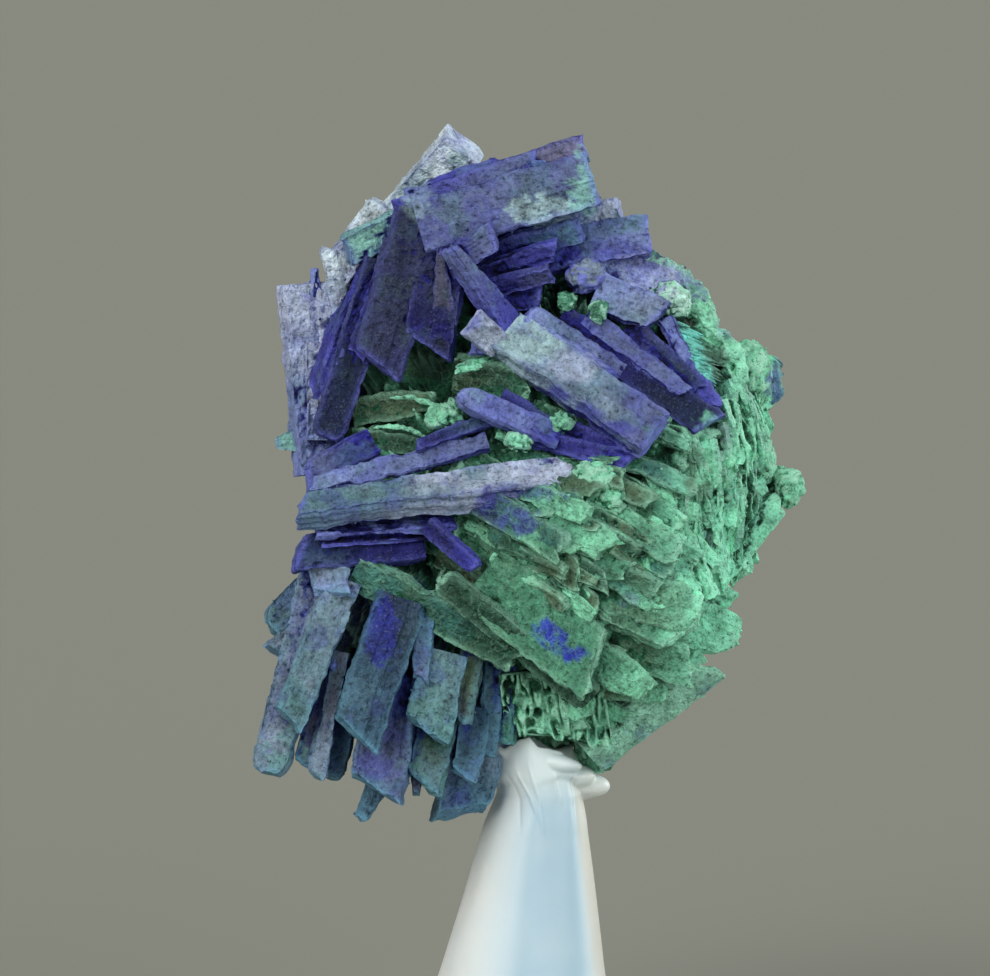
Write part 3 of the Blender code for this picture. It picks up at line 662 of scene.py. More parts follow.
def weathered_and_shaded_mineral():
    """Mixes deep colour, vivid colour, tone, rim and dust by openness, wear, edge and grain; the
    deep colour in cracks and low places is painted shade, and the rim is partly a painted highlight.
    """
    tree = bpy.data.node_groups.new("weathered_and_shaded_mineral", "ShaderNodeTree")
    for side, kinds in GROUP_SOCKETS.items():
        for kind, names in kinds:
            for name in names:
                tree.interface.new_socket(name, in_out=side, socket_type=kind)
    given = add_node(tree, "NodeGroupInput").outputs
    coarse, fine, speck = (noise_node(tree, given["Place"], *values)["Fac"] for values in (
        (1100.0, 2.0, 0.55), (4600.0, 4.0, 0.7), (9500.0, 2.0, 0.6)))

    def times(*factors):
        return maths(tree, "MULTIPLY", *factors)

    def plus(*parts):
        return maths(tree, "ADD", *parts)

    wander = plus(coarse, fine, -1.0)
    # Painted shade: little open sky or a low place in the relief gives the deep colour, then the vivid one,
    # in place of the tone; Worn also carries the real pale crust.
    crack_shade_and_wear = plus(times(given["Open To Light"], 0.58), times(given["Worn"], 0.46), 0.08, times(wander, 0.4))
    body = blend(tree, step(tree, crack_shade_and_wear, 0.12, 0.42), given["Deep"], given["Vivid"])
    body = blend(tree, step(tree, crack_shade_and_wear, 0.26, 0.6), body, given["Tone"])
    shade = plus(times(coarse, 1.9), times(fine, 2.4), -1.0)
    grey = add_node(tree, "ShaderNodeCombineColor", {0: shade, 1: shade, 2: shade})
    body = blend(tree, 1.0, body, grey.outputs[0], "MULTIPLY")
    vein = times(vein_mask(tree, given["Place"]), given["Vein Amount"])
    # Partly a painted highlight: thin edges and veins where the stone is open get the bright rim colour,
    # which is also a paler edge.
    rim = maths(tree, "MAXIMUM", times(given["Edge"], step(tree, fine, 0.2, 0.5)), vein)
    rim = times(rim, step(tree, crack_shade_and_wear, 0.0, 0.5), given["Rim Amount"])
    body = blend(tree, rim, body, given["Rim Highlight"])
    dust = times(step(tree, speck, 0.52, 0.74), step(tree, crack_shade_and_wear, 0.45, 1.0), given["Dust Amount"])
    body = blend(tree, dust, body, blend(tree, 0.5, given["Tone"], given["Dust"]))
    pit = times(step(tree, fine, 0.43, 0.32), given["Pit Amount"])
    body = blend(tree, pit, body, given["Deep"])
    add_node(tree, "NodeGroupOutput", {
        "Color": body, "Height": plus(fine, times(speck, 0.5), times(vein, 0.9)),
        "Roughness": plus(times(speck, 0.6), 0.3)})
    return tree


MINERAL = weathered_and_shaded_mineral()
print("mineral group:", len(MINERAL.nodes), "nodes")

# %% Azurite and malachite
MINERAL_BUMP = 0.00012
COLOUR_INPUTS = ("Deep", "Vivid", "Rim Highlight", "Dust")
AMOUNT_INPUTS = ("Rim Amount", "Dust Amount", "Pit Amount", "Vein Amount")


def mineral_material(name, colours, amounts, strength):
    """A stone: the group's colour, roughness and a bump from its height, on one shader."""
    material, tree, shader = new_material(name)
    group = add_node(tree, "ShaderNodeGroup", node_tree=MINERAL)
    feed(tree, group, {
        "Place": add_node(tree, "ShaderNodeTexCoord").outputs["Object"],
        "Tone": attribute(tree, "tone", "Color"), "Open To Light": attribute(tree, "open_to_light"),
        "Edge": attribute(tree, "edge"), "Worn": attribute(tree, "worn"),
        **dict(zip(COLOUR_INPUTS, map(solid, colours))), **dict(zip(AMOUNT_INPUTS, amounts))})
    feed(tree, shader, {
        "Base Color": group.outputs["Color"], "Roughness": group.outputs["Roughness"],
        "Specular IOR Level": 0.3,
        "Normal": bump(tree, group.outputs["Height"], strength, MINERAL_BUMP)})
    return material


# Of each finish's four colours, the first is the deep colour, which is also painted as shade in cracks, and
# the third is the rim, a paler edge that is also a painted highlight.
AZURITE = mineral_material(
    "azurite", ((10, 8, 52), (32, 36, 132), (124, 132, 240), (160, 174, 214)),
    (0.75, 0.4, 0.5, 0.0), 1.5)
PATINA = mineral_material(
    "patina", ((14, 18, 56), (44, 60, 150), (116, 180, 210), (176, 196, 212)),
    (0.8, 0.4, 0.5, 0.0), 1.5)
MALACHITE = mineral_material(
    "malachite", ((16, 52, 38), (44, 118, 84), (186, 255, 222), (166, 228, 198)),
    (0.95, 0.16, 0.6, 0.16), 1.8)
print("finishes:", AZURITE.name, PATINA.name, MALACHITE.name)

# %% [markdown]
# ## The blades of the front
# Each line is one blade of the photograph: its name, where it starts and where it ends (right,
# up and near), how wide and thick it is, how far it is rolled in degrees, the form of its
# end, and its tone near the root and near the tip.

# %% Top blades
TOP_BLADES = table(Blade, BLADE_FORMS, """
peak_block -6.3 45.4 -0.6 -2.75 49.75 1.8 2.5 2.4 8 flat chalk chalk
shoulder_slab -9.1 43.2 1.2 -6.6 46.6 1.4 1.8 1.6 -15 flat pale chalk
shoulder_step -8.7 41.4 1.4 -9.25 44.7 1.6 1.5 1.3 10 chisel pale chalk
green_bar -4.8 46.3 2.8 -8.65 44.45 3.4 1.55 1.5 -8 flat mint_grey mint_grey
left_column -10 33.3 0.6 -10.85 42.8 0.4 2.3 2.4 12 flat lavender pale
column_spike -10.2 40 0.9 -10.25 43.5 0.9 0.9 1 20 point grey lavender
column_step -10.1 35 1.6 -10.05 40.1 1.7 1.2 0.9 5 chisel lavender pale
column_fill -9.75 34.2 0.9 -10.1 42.4 1.1 1.7 1.2 -8 chisel lavender pale
mint_tip -9.6 35.2 0.2 -12.15 34.85 0 1.9 1.2 0 point grey_green mint_grey
edge_plate_outer -7.7 44 2.6 -10.45 37.15 2.7 2.4 0.5 76 chisel ultramarine violet
edge_plate_inner -7.2 44 3.3 -9.95 37.7 3.4 2.4 0.5 70 chisel ultramarine violet
long_dark_slab -6.9 43.9 3.6 -9.7 35.1 4.4 1.75 1.1 -6 round night_blue night_blue
slate_edge -6.1 44.9 4 -8.15 38.9 4.5 1.1 1.2 30 chisel slate_dark indigo
slate_slab -4.9 46.4 4.6 -7.25 38.2 5.2 2.5 1.2 -4 chisel dusk dusk
violet_block -3.9 43.8 4.8 -4.7 39.1 5 2.5 1.4 6 chisel dusk indigo
brown_wedge -3.75 40.8 5.2 -3.9 44.5 5.9 1.3 0.9 -10 point brown_grey brown_grey
pointed_wedge -0.55 40.6 5.4 -3.55 44.5 6.9 1.5 1.1 38 point violet slate
top_hero -5 45.55 5 3.6 48.05 5.6 2.6 1.2 -6 flat slate slate
hero_layer_two -6.2 46.35 3.9 0.95 48.95 4.6 1.2 0.9 -14 chisel violet slate
hero_layer_three -5.6 46.9 3.2 -0.9 48.75 3.8 1 0.8 -18 chisel ultramarine violet
hero_top_chip 1.3 48 4.7 0.75 49.1 5 0.7 0.6 10 chisel teal teal
speckled_plate -2.6 47.7 2.9 3.3 49.65 3.6 1.3 1 -8 flat slate_dark mauve
under_blade -3.6 43.7 5.7 -1.05 45.5 6.5 1.5 1 6 chisel indigo slate
teal_plate -2.2 44.2 3.8 3 45.55 4.9 1.2 0.7 28 flat indigo teal
violet_plate -2.4 43.35 4 2 44.6 5 1 0.6 34 chisel indigo violet
indigo_plate -2.2 42.4 4.2 1.6 43.35 5 0.9 0.6 34 flat indigo slate_dark
backing_plate -4 44.2 1.6 3.2 46.3 2 2.6 1.8 0 flat indigo indigo
indigo_face -2.2 41.9 3.4 1.5 42.75 4 1.9 1.2 0 chisel indigo indigo
lavender_cap 0.8 45.5 3 5 46.55 3.4 1.1 1.4 -12 flat lavender pale
lavender_slab 1.4 44.3 3.2 6.45 45.25 3.4 1.9 1.8 -8 flat violet lavender
crumbled_slab 3.2 43.8 2.6 8.3 42.2 2.2 1.8 2.2 -14 mirror lavender pale
grey_slab 3.8 42.4 4.2 7.3 41 4.5 1.9 1.4 -10 chisel lavender grey
""")
print(len(TOP_BLADES), "blades at the top")

# %% Centre blades
CENTRE_BLADES = table(Blade, BLADE_FORMS, """
pale_chip -1.1 39.8 6.2 -2.35 40.85 7.2 1.35 0.7 0 flat pale pale
chip_under -1 39.7 5.6 -2.5 39.75 6.4 1 0.8 0 chisel violet slate
diagonal_hero -0.7 40.15 5.6 6.75 35.2 7.8 2.35 1.7 -22 flat pale_mint slate
slit_plate 1 40.65 5.4 4.65 38.1 6.5 1.3 0.35 -66 chisel lavender violet
round_blade 4.9 38.2 4.7 0.35 41.25 5.4 1.3 1.1 10 round slate lavender
navy_blade 2 41 4.1 9.75 35.5 5.3 1.75 1.1 -8 chisel indigo night_blue
slate_strip 3.3 41.1 4.4 8.4 37.2 5.3 0.9 0.9 -14 chisel slate slate
indigo_wedge 5.4 40.7 4 9 37.2 4.9 1.3 0.9 -10 chisel slate_dark navy
lavender_strip 7.2 41 3.9 9.75 36.5 4.8 0.8 0.9 -10 chisel lavender violet
violet_mid_blade 1.9 35.05 6.6 -3 37.2 7.2 1.25 1.2 16 round violet lavender
violet_right_blade 0.6 35.1 6.5 5.7 33.95 7.2 0.85 0.9 0 chisel indigo violet
indigo_upper_strip -0.9 37.1 6 2.3 35.5 6.8 0.75 0.8 0 chisel indigo navy
indigo_right_strip 2.2 35.6 6.2 6 34.1 6.9 0.95 0.9 0 chisel indigo violet
dark_sliver -1.4 36.1 6 -5.3 34.65 7 0.7 0.9 10 chisel dark_teal indigo
lavender_blade -1.7 34.85 5.9 -10.6 32.55 7.5 0.95 1 14 chisel slate lavender
left_violet_block -7.4 34.8 4.4 -10.9 32.95 5.3 1.5 1.8 8 chisel ultramarine slate
mid_hero 3.1 33.2 6.4 -11.3 31.45 8.2 1.6 1.6 38 chisel pale grey_green
thin_plate_upper -3.4 31.1 5.4 -10.5 30.6 7 2.4 0.3 66 chisel violet lavender
thin_plate_lower -3.8 30.6 5.3 -10.2 30.15 6.9 2.4 0.3 66 chisel indigo violet
porous_block -5 29.75 5.4 -11.45 29.35 7 1.7 1.7 6 chisel indigo navy
ultramarine_blade -4.6 30.7 7 -2.15 28.65 8.2 0.8 0.7 20 round indigo ultramarine
""")
print(len(CENTRE_BLADES), "blades in the middle")

# %% Lower blades
LOWER_BLADES = table(Blade, BLADE_FORMS, """
outer_slab_high -8.4 29.2 1.6 -12.35 25.5 2.4 2 1.8 10 round slate grey_green
outer_slab_low -8.2 27.6 2 -12.3 24.1 3 1.5 1.8 0 mirror slate grey
long_blade -9.75 29.2 5 -12.55 18.4 6.2 1.9 1.4 6 round grey grey
green_tip_blade -8.75 28 6.6 -11.75 20.7 7.7 1.65 1.2 -6 chisel grey grey_green
head_slab -9.75 29.2 6.2 -9.2 26.9 7.4 1.8 1 0 chisel grey lavender
narrow_blade -9.3 24 5.4 -10.85 18.6 5.8 1 1 8 chisel slate_dark brown_grey
sparkling_blade -9 24.4 6.3 -10.25 18 6.7 0.85 0.9 -8 chisel brown_grey grey
shadow_blade -8.4 24 4.8 -9.3 18.1 5.2 1.3 1 0 round dark_teal dark_teal
navy_slab -5.95 27 6.8 -8.35 19.7 8.6 2.45 1.2 -4 chisel deep_steel steel
slit_slab -6.2 24 5.4 -7.2 16.9 6.6 2.7 1.6 5 chisel deep_steel slate
teal_tip -5.6 20.6 4.2 -8 16.1 5 2.3 1.4 -6 point dark_teal teal
dark_wedge -5 20.6 5 -5.2 17.3 5.4 1.1 1 0 point indigo brown_grey
cyan_strip -4.7 26.6 6.4 -4.95 22.8 7.3 0.8 0.9 0 chisel teal slate
grey_green_slab -3.8 24.3 6.2 -4.8 19.9 7.3 2.3 1.1 -6 chisel grey_green green_bar
dark_green_slab -3.9 21.2 5 -4.9 17.4 5.9 1.9 1.2 4 chisel leaf_dark grey_green
mint_edged_facet -2.2 21.6 5 -2.95 17.9 5.6 1.3 1 -14 chisel dark_teal teal
blue_foot_block -1.9 21.4 1.4 -3.1 15.8 3.2 2.7 2.6 -8 mirror grey teal
brown_sliver -2.3 24.4 5.4 -2.85 20.7 6.4 1 0.8 18 chisel leaf_brown brown_grey
teal_sliver -1.4 24.2 4.6 -1.75 19.1 4.7 0.95 0.9 -18 chisel dark_teal teal
last_sliver -0.5 23.8 4.4 -0.8 19.8 4 0.9 0.9 14 chisel dark_teal leaf
""")
print(len(LOWER_BLADES), "blades at the lower left")

# %% [markdown]
# ## Malachite leaves
# On the right the blades have turned to malachite.  They keep the blades' slant but have gone
# leafy: crumpled, torn along their outline and pale on the rim.

# %% Leaf table
LEAVES = table(Blade, BLADE_FORMS, """
teal_leaf -8.2 28.5 6.2 0.4 24 7.4 1.55 1.6 20 chisel leaf_teal leaf_dark
round_leaf 3.5 22.1 6.6 -3.9 28.1 8.4 1.3 1.4 -22 round leaf_dark leaf_dark
blue_patched_leaf -1.9 28.2 7.2 4.3 23.2 8.2 2.9 1.4 -6 mirror leaf leaf
low_leaf 3.4 24.4 6.6 6.6 22.3 6.4 1.6 0.9 10 leaf leaf leaf_pale
brown_leaf 4.4 24.8 6.4 8.9 23.5 5.4 1.7 1.2 12 mirror leaf_brown leaf
shelf_leaf 3.2 27 7 7.9 24.9 7.4 1.2 1.2 -20 chisel leaf_dark leaf
great_leaf 1.4 28.5 6.8 9 26.3 7.2 2.3 1.6 -10 round leaf leaf_brown
fan_lobe 6.6 26.3 5 10.7 25.3 3.8 2.3 1.2 -6 round leaf leaf
fan_lobe_high 8 27.8 4.4 10.75 27 3.2 1.2 1.2 0 leaf leaf leaf_pale
long_ridge 6.7 33.4 6.2 9.65 26.9 5.6 0.8 1.3 10 leaf leaf_pale leaf_pale
flank_ridge 9.1 35.6 3.8 9.9 29.6 4.6 0.8 1.4 0 leaf leaf_pale leaf
hem_leaf_one 2.6 21.9 4.8 5.6 20.9 4.1 1.3 0.7 10 leaf leaf_pale leaf
hem_leaf_two 4.2 22.8 5 7.2 22.3 4.2 1.2 0.7 -8 round leaf_brown leaf_pale
hem_leaf_three 6 23.9 4.8 8.8 23.9 4 1.1 0.7 12 leaf leaf leaf_pale
rear_fin 8.8 27.9 2.2 13 32 0.8 1.9 1.1 14 leaf leaf_dark leaf
smooth_sail 3.4 19.3 2.9 9.5 24.05 3.4 2.8 0.6 42 mirror sail sail
centre_leaf_one 0.6 31.8 7 6.6 29.6 7.8 1.8 0.9 12 leaf leaf leaf_brown
centre_leaf_two -0.8 30.4 7.2 5.6 28.2 8.1 1.6 0.9 -8 leaf leaf_dark leaf
centre_leaf_three 3.2 33.4 6.4 8.2 30.6 6.6 1.7 0.9 8 leaf leaf leaf
indigo_leaf -2.2 32.2 7 1.5 29.9 8 1.5 0.8 6 leaf indigo leaf
hollow_shelf -3.2 38.2 4.8 0.8 37.6 5.8 1.9 1.4 16 leaf olive leaf_dark
lime_ledge -1.2 39.1 5.6 -3.3 38.5 6.3 0.5 0.5 0 leaf leaf_pale mint
hollow_lip_high -8.2 36.4 3 -4.2 37 4.4 1.1 1.2 0 leaf olive leaf_brown
hollow_lip_low -8.3 35 3.4 -4.4 34.6 4.8 1.1 1.3 0 leaf olive leaf_dark
flank_leaf_low 8 31.6 3.6 12.4 33.2 1.2 2.2 1.4 0 leaf leaf leaf_pale
flank_leaf_high 8.4 34.8 3.2 12.2 35.8 0.4 2.4 1.4 0 leaf leaf leaf_pale
ear 9.4 37.4 0.6 12.95 38.1 -1.2 2.7 1.8 0 round leaf_pale lavender
""")
print(len(LEAVES), "leaves")

# %% [markdown]
# ## The back
# The photograph doesn't show the back, but the stone has one.  Rings of blades lie on the mass
# like slates, azurite on the left and malachite leaves past the turn on the right.  The same
# seed as in the solid gives the same places.

# %% Blades of the back
BACK_SEED = 11
BACK_MIDDLE = np.array((-0.4, 32.4, -2.2))
BACK_RADII = np.array((9.3, 12.8, 9.0))
FLANK_MIDDLE = np.array((1.2, 33.4, -0.6))
FLANK_RADII = np.array((10.8, 12.5, 7.8))
MALACHITE_TURN = 128.0
BACK_RINGS = (
    # height over the middle in degrees, first and last turn from the left, count, length, width
    (66, -10, 200, 6, 6.4, 2.7),
    (38, -6, 215, 9, 7.4, 2.7),
    (10, -10, 222, 10, 8.0, 2.8),
    (-18, -10, 222, 10, 7.6, 2.7),
    (-46, 10, 200, 7, 6.4, 2.4),
)
BACK_TONES = ("slate", "violet", "grey", "lavender", "navy", "slate_dark", "teal")
LEAF_TONES = ("leaf", "leaf_pale", "leaf", "leaf_brown", "leaf_teal")
BACK_ENDS = ("chisel", "mirror", "flat", "round")


def roll_towards(root, tip, out):
    """Degrees of roll that turn the broad face from the eye towards the direction out."""
    along = unit(tip - root)
    eye = np.array((0.0, 0.0, 1.0))
    start = eye - along * (eye @ along)
    goal = out - along * (out @ along)
    return math.degrees(math.atan2(along @ np.cross(start, goal), start @ goal))


def back_blades():
    """Places on rings round two stretched spheres; each blade follows the sphere in its own
    direction and lifts off a little towards its tip."""
    rng = random.Random(BACK_SEED)
    blades = []
    for ring, (height, first, last, count, length, width) in enumerate(BACK_RINGS):
        for index in range(count):
            degrees = first + (last - first) * (index + 0.5) / count + rng.uniform(-4.0, 4.0)
            leafy = degrees > MALACHITE_TURN
            turn = math.radians(degrees)
            tall = math.radians(height + rng.uniform(-6.0, 6.0))
            out = np.array((-math.cos(turn) * math.cos(tall), math.sin(tall),
                            -math.sin(turn) * math.cos(tall)))
            middle, radii = (FLANK_MIDDLE, FLANK_RADII) if leafy else (BACK_MIDDLE, BACK_RADII)
            spot = middle + radii * out
            side = unit(np.cross(out, (0.0, 1.0, 0.0)))
            spin = math.radians(35.0 * ring + 47.0 * math.sin(1.9 * index + ring))
            if leafy:
                spin = math.radians(-75.0 + 25.0 * math.sin(2.7 * index + ring))
            run = side * math.cos(spin) + np.cross(side, out) * math.sin(spin)
            half = length * rng.uniform(0.4, 0.52) * (0.7 if leafy else 1.0)
            root = spot - run * half - out * 1.5
            tip = spot + run * half + out * rng.uniform(-0.3, 0.8)
            end = "leaf" if leafy else rng.choice(BACK_ENDS)
            names = LEAF_TONES if leafy else BACK_TONES
            blades.append(Blade(
                f"back_{ring}_{index}", tuple(root), tuple(tip), width * rng.uniform(0.85, 1.15),
                rng.uniform(1.1, 1.6), roll_towards(root, tip, out), end,
                names[(3 * ring + 2 * index) % len(names)],
                names[(ring + 3 * index + 1) % len(names)]))
    return blades


BACK = back_blades()
print(len(BACK), "blades and leaves behind")

# %% [markdown]
# ## The mass that carries them
# Under the blades is a lump of malachite: nine swells grown into one.  Seen from a point
# inside it, the surface is one distance for each direction, the farthest of the nine, so the
# whole mass is a single surface over the two angles of that direction.  Crumpled ridges are
# then added to the distance.

# %% Swells and knobs
MASS_LOBES = table(Lump, (0, 3, 3, 0), """
heart -0.5 32 -2.2 8.7 12.4 8.4 leaf
right_flank 6.8 34.2 -0.4 5.3 7.6 6.2 leaf
front_swell 3.2 29.6 2.2 6.3 6.4 5.2 leaf
lower_right 4.4 24.9 0.6 5 5.5 5.3 leaf
lower_middle 0.9 22.9 0.2 4 3.7 3.7 leaf
top_right 5.2 40.4 -0.6 4.8 3.8 4.8 leaf
top_left -4.4 41 -0.2 5.2 4.8 4.3 leaf
lower_left -6.3 24.8 0.8 3.8 4.7 4.4 leaf
left_middle -6.3 32.2 0.6 3.7 5.1 4.6 leaf
""")
KNOBS = table(Lump, (0, 3, 3, 0), """
grey_dome 3.3 43.2 4.2 1.15 0.85 1.1 grey
green_bit_left 2.35 41.85 4.4 0.5 0.55 0.6 leaf
green_bit_right 3.95 41.4 4.9 0.5 0.6 0.6 leaf
mint_lump 7.5 42 3.5 1.15 0.95 1 mint_pale
mint_nub -3.75 36.1 5.6 0.95 0.75 1.1 leaf_pale
mint_bud_right 2.15 35.9 6.7 0.65 0.6 0.8 leaf_pale
mint_bud_left 0 34.9 6.9 0.75 0.5 0.8 mint
knob 13.3 32.65 0.2 1 1.1 1.1 leaf_pale
bubbly_high 3.8 33 6.9 1.3 1.2 1.1 leaf_pale
bubbly_low 4.6 32 7.1 0.9 0.8 0.9 leaf_pale
flank_bulge_high 11.4 38 0 1.2 2 1.8 leaf_pale
flank_bulge_mid 11.3 34 0.4 1.6 1.6 2 leaf_pale
shoulder_bulge 8.2 41.5 0.8 1.4 1.1 1.8 leaf_pale
foot_bulge 3.9 20 1 1.3 1.7 1.4 leaf
teal_knob -9.3 23.7 6.3 0.5 0.65 0.7 teal
""")
MASS_CENTRE = from_front((0.8, 31.5, -1.2))
LEANT = np.stack((SIDEWAYS, PICTURE_UP, TOWARDS_EYE))
print(len(MASS_LOBES), "swells,", len(KNOBS), "knobs")

# %% The mass as a distance for each direction
def sphere_grid(rings, around):
    """Unit directions over the angle from the top and the angle round, poles left out."""
    tall = np.linspace(0.0, math.pi, rings + 2)[1:-1, None]
    turn = np.linspace(0.0, 2.0 * math.pi, around, endpoint=False)[None, :]
    grid = np.stack((np.sin(tall) * np.cos(turn), np.sin(tall) * np.sin(turn),
                     np.cos(tall) * np.ones_like(turn)), axis=-1)
    return grid[:, ::-1]


def mass_surface(directions):
    """Points of the smooth mass: each ray from its centre ends where it leaves the last of the
    swells, each a stretched sphere that is round in its own scale."""
    reach = []
    for lobe in MASS_LOBES:
        offset = LEANT @ (MASS_CENTRE - from_front(lobe.middle)) / lobe.radii
        reach.append(exit_distance(offset, directions @ LEANT.T / lobe.radii))
    return MASS_CENTRE + directions * np.max(reach, axis=0)[..., None]


def azurite_ground(right, up, near):
    """1 where the ground is azurite: at the top, at the lower left and behind on the left."""
    top = ease(39.6, 40.8, up) * ease(5.2, 3.2, right)
    low = ease(-2.0, -3.6, right) * ease(28.8, 27.4, up)
    behind = ease(-2.5, -4.5, near) * ease(4.5, 2.0, right)
    return np.maximum(np.maximum(top, low), behind)


def ground_tone(points, ridge):
    """Green of the mass, paler on ridges and brown in places, and indigo under the azurite."""
    patch = noise(points, 2.4, 12.0)
    green = towards(TONES["leaf"], TONES["leaf_brown"], ease(0.1, 0.7, patch))
    green = towards(green, TONES["leaf_dark"], ease(0.0, 0.45, -patch))
    green = towards(green, TONES["leaf_pale"], ease(0.35, 0.9, ridge) * 0.8)
    return towards(green, TONES["indigo"], azurite_ground(*picture_place(points)))


print("the mass reaches", mass_surface(SIDEWAYS)[0].round(1), "mm to the right")

# %% The mass with its ridges and hollows
Hollow = namedtuple("Hollow", "right up wide tall deep")
HOLLOWS = (Hollow(-4.4, 38.9, 1.6, 1.3, 2.0), Hollow(9.6, 38.7, 1.0, 1.7, 3.6))
UPRIGHT = np.array((1.0, 1.0, 0.36))


def mass_pockets(points):
    """Depth of what is missing: small pits, a strip drawn back below the smooth sail at the
    lower right, and the two dark hollows of the photograph."""
    right, up, near = picture_place(points)
    pocket = np.clip(noise(points * UPRIGHT, 1.5, 33.0) - 0.3, 0.0, 1.0) * 2.2
    below = (right - 3.9) * 0.625 - (up - 18.9) * 0.78
    pocket += ease(-2.4, -0.9, below) * ease(2.5, 4.0, right) * ease(10.8, 9.8, right) * (near > -1.0)
    for hollow in HOLLOWS:
        away = ((right - hollow.right) / hollow.wide) ** 2 + ((up - hollow.up) / hollow.tall) ** 2
        pocket += hollow.deep * np.exp(-away) * (near > 0.0)
    return pocket


def mass_shell(rings, around):
    """The mass roughened by crumpled ridges at four sizes, less its pockets.  Most ridges run
    up and down, because their noise is stretched along the height."""
    directions = sphere_grid(rings, around)
    points = mass_surface(directions)
    warped = points + 0.6 * np.stack([noise(points, 1.7, seed) for seed in (1.0, 2.0, 3.0)], axis=-1)
    big = crests(warped, 2.0, 4.0)
    middle = crests(warped * UPRIGHT, 0.9, 5.0, 3.0)
    small = crests(warped * UPRIGHT, 0.42, 9.0, 3.0)
    fine = crests(warped * np.array((1.0, 1.0, 0.7)), 0.34, 19.0, 2.6)
    relief = 0.4 * big + 0.38 * middle + 0.24 * small + 0.16 * fine + 0.1 * rough(points, 0.5, 6.0) - 0.6
    ridge = np.clip(0.6 * middle + 0.45 * small + 0.4 * fine, 0.0, 1.0) ** 1.5
    pocket = mass_pockets(points)
    points = points + directions * (relief - pocket)[..., None]
    top, foot = (np.array((*MASS_CENTRE[:2], ring[:, 2].mean())) for ring in (points[0], points[-1]))
    # Partly painted light: the flank's mint is laid on more strongly on ridges. Painted shade: pockets and
    # hollows darken towards dark leaf green and lose their rim and wear.
    tone = flank_mint_and_light(points, ground_tone(points, ridge), 0.25 + 0.9 * ridge)
    tone = towards(tone, TONES["leaf_dark"] * 0.7, ease(0.3, 1.6, pocket))
    return closed_shell(top, points, foot, tone, ease(0.5, 1.0, ridge) * ease(1.6, 0.3, pocket),
                        np.clip(0.4 + relief - pocket, 0.0, 1.0))


def knob_shell(lump, seed, rings=40, around=60):
    """A stretched sphere with crumbs: its distance swells between the creases of noise."""
    directions = sphere_grid(rings, around)
    local = directions * np.array((lump.radii[0], lump.radii[2], lump.radii[1]))
    spot = local + seed * 13.7
    crumb = 1.0 - crests(spot + 0.3 * noise(spot, 0.8, 4.0)[..., None], 0.46, 1.0)
    swell = 0.12 * crumb + 0.3 * rough(spot, 0.9, 2.0) + 0.08 * noise(spot, 0.2, 3.0) - 0.14
    local = local + directions * swell[..., None]
    points = from_front(lump.middle) + local @ np.stack((LEANT[0], -LEANT[2], LEANT[1]))
    tone = np.broadcast_to(TONES[lump.tone], points.shape)
    first, last = points[0].mean(axis=0), points[-1].mean(axis=0)
    return closed_shell(first, points, last, tone, ease(0.5, 1.0, crumb), 0.35 + 0.5 * crumb)


deepest = max(hollow.deep for hollow in HOLLOWS)
print(len(HOLLOWS), "hollows, the deepest", deepest, "mm")

# %% [markdown]
# Between the large leaves the stone is covered with small ones.  Each starts at a random place
# of the mass, follows the slant of the large leaves (down to the right, and steeper round the
# right side), lifts its tip a little and is rolled a little, so that each catches its own light.

# %% Scales
SCALE_TONES = ("leaf", "leaf_dark", "leaf_pale", "leaf_teal", "leaf_brown")
SCALE_ENDS = ("chisel", "mirror", "leaf", "round")
SHORT_STEP = 0.03
SLANT, SIDE_SLANT = -27.0, -40.0
SCALE_SEED, SCALE_PITCH, SCALE_CRUMBLE, SCALE_SINK = 400, 0.2, 0.7, 0.1


def lying(point, out, along, facing, length, sink):
    """The place of a leaf whose middle lies on the ground at a point, sunk in a little."""
    return point - along * length * 0.5 - out * sink, length, along, facing, np.cross(along, facing)


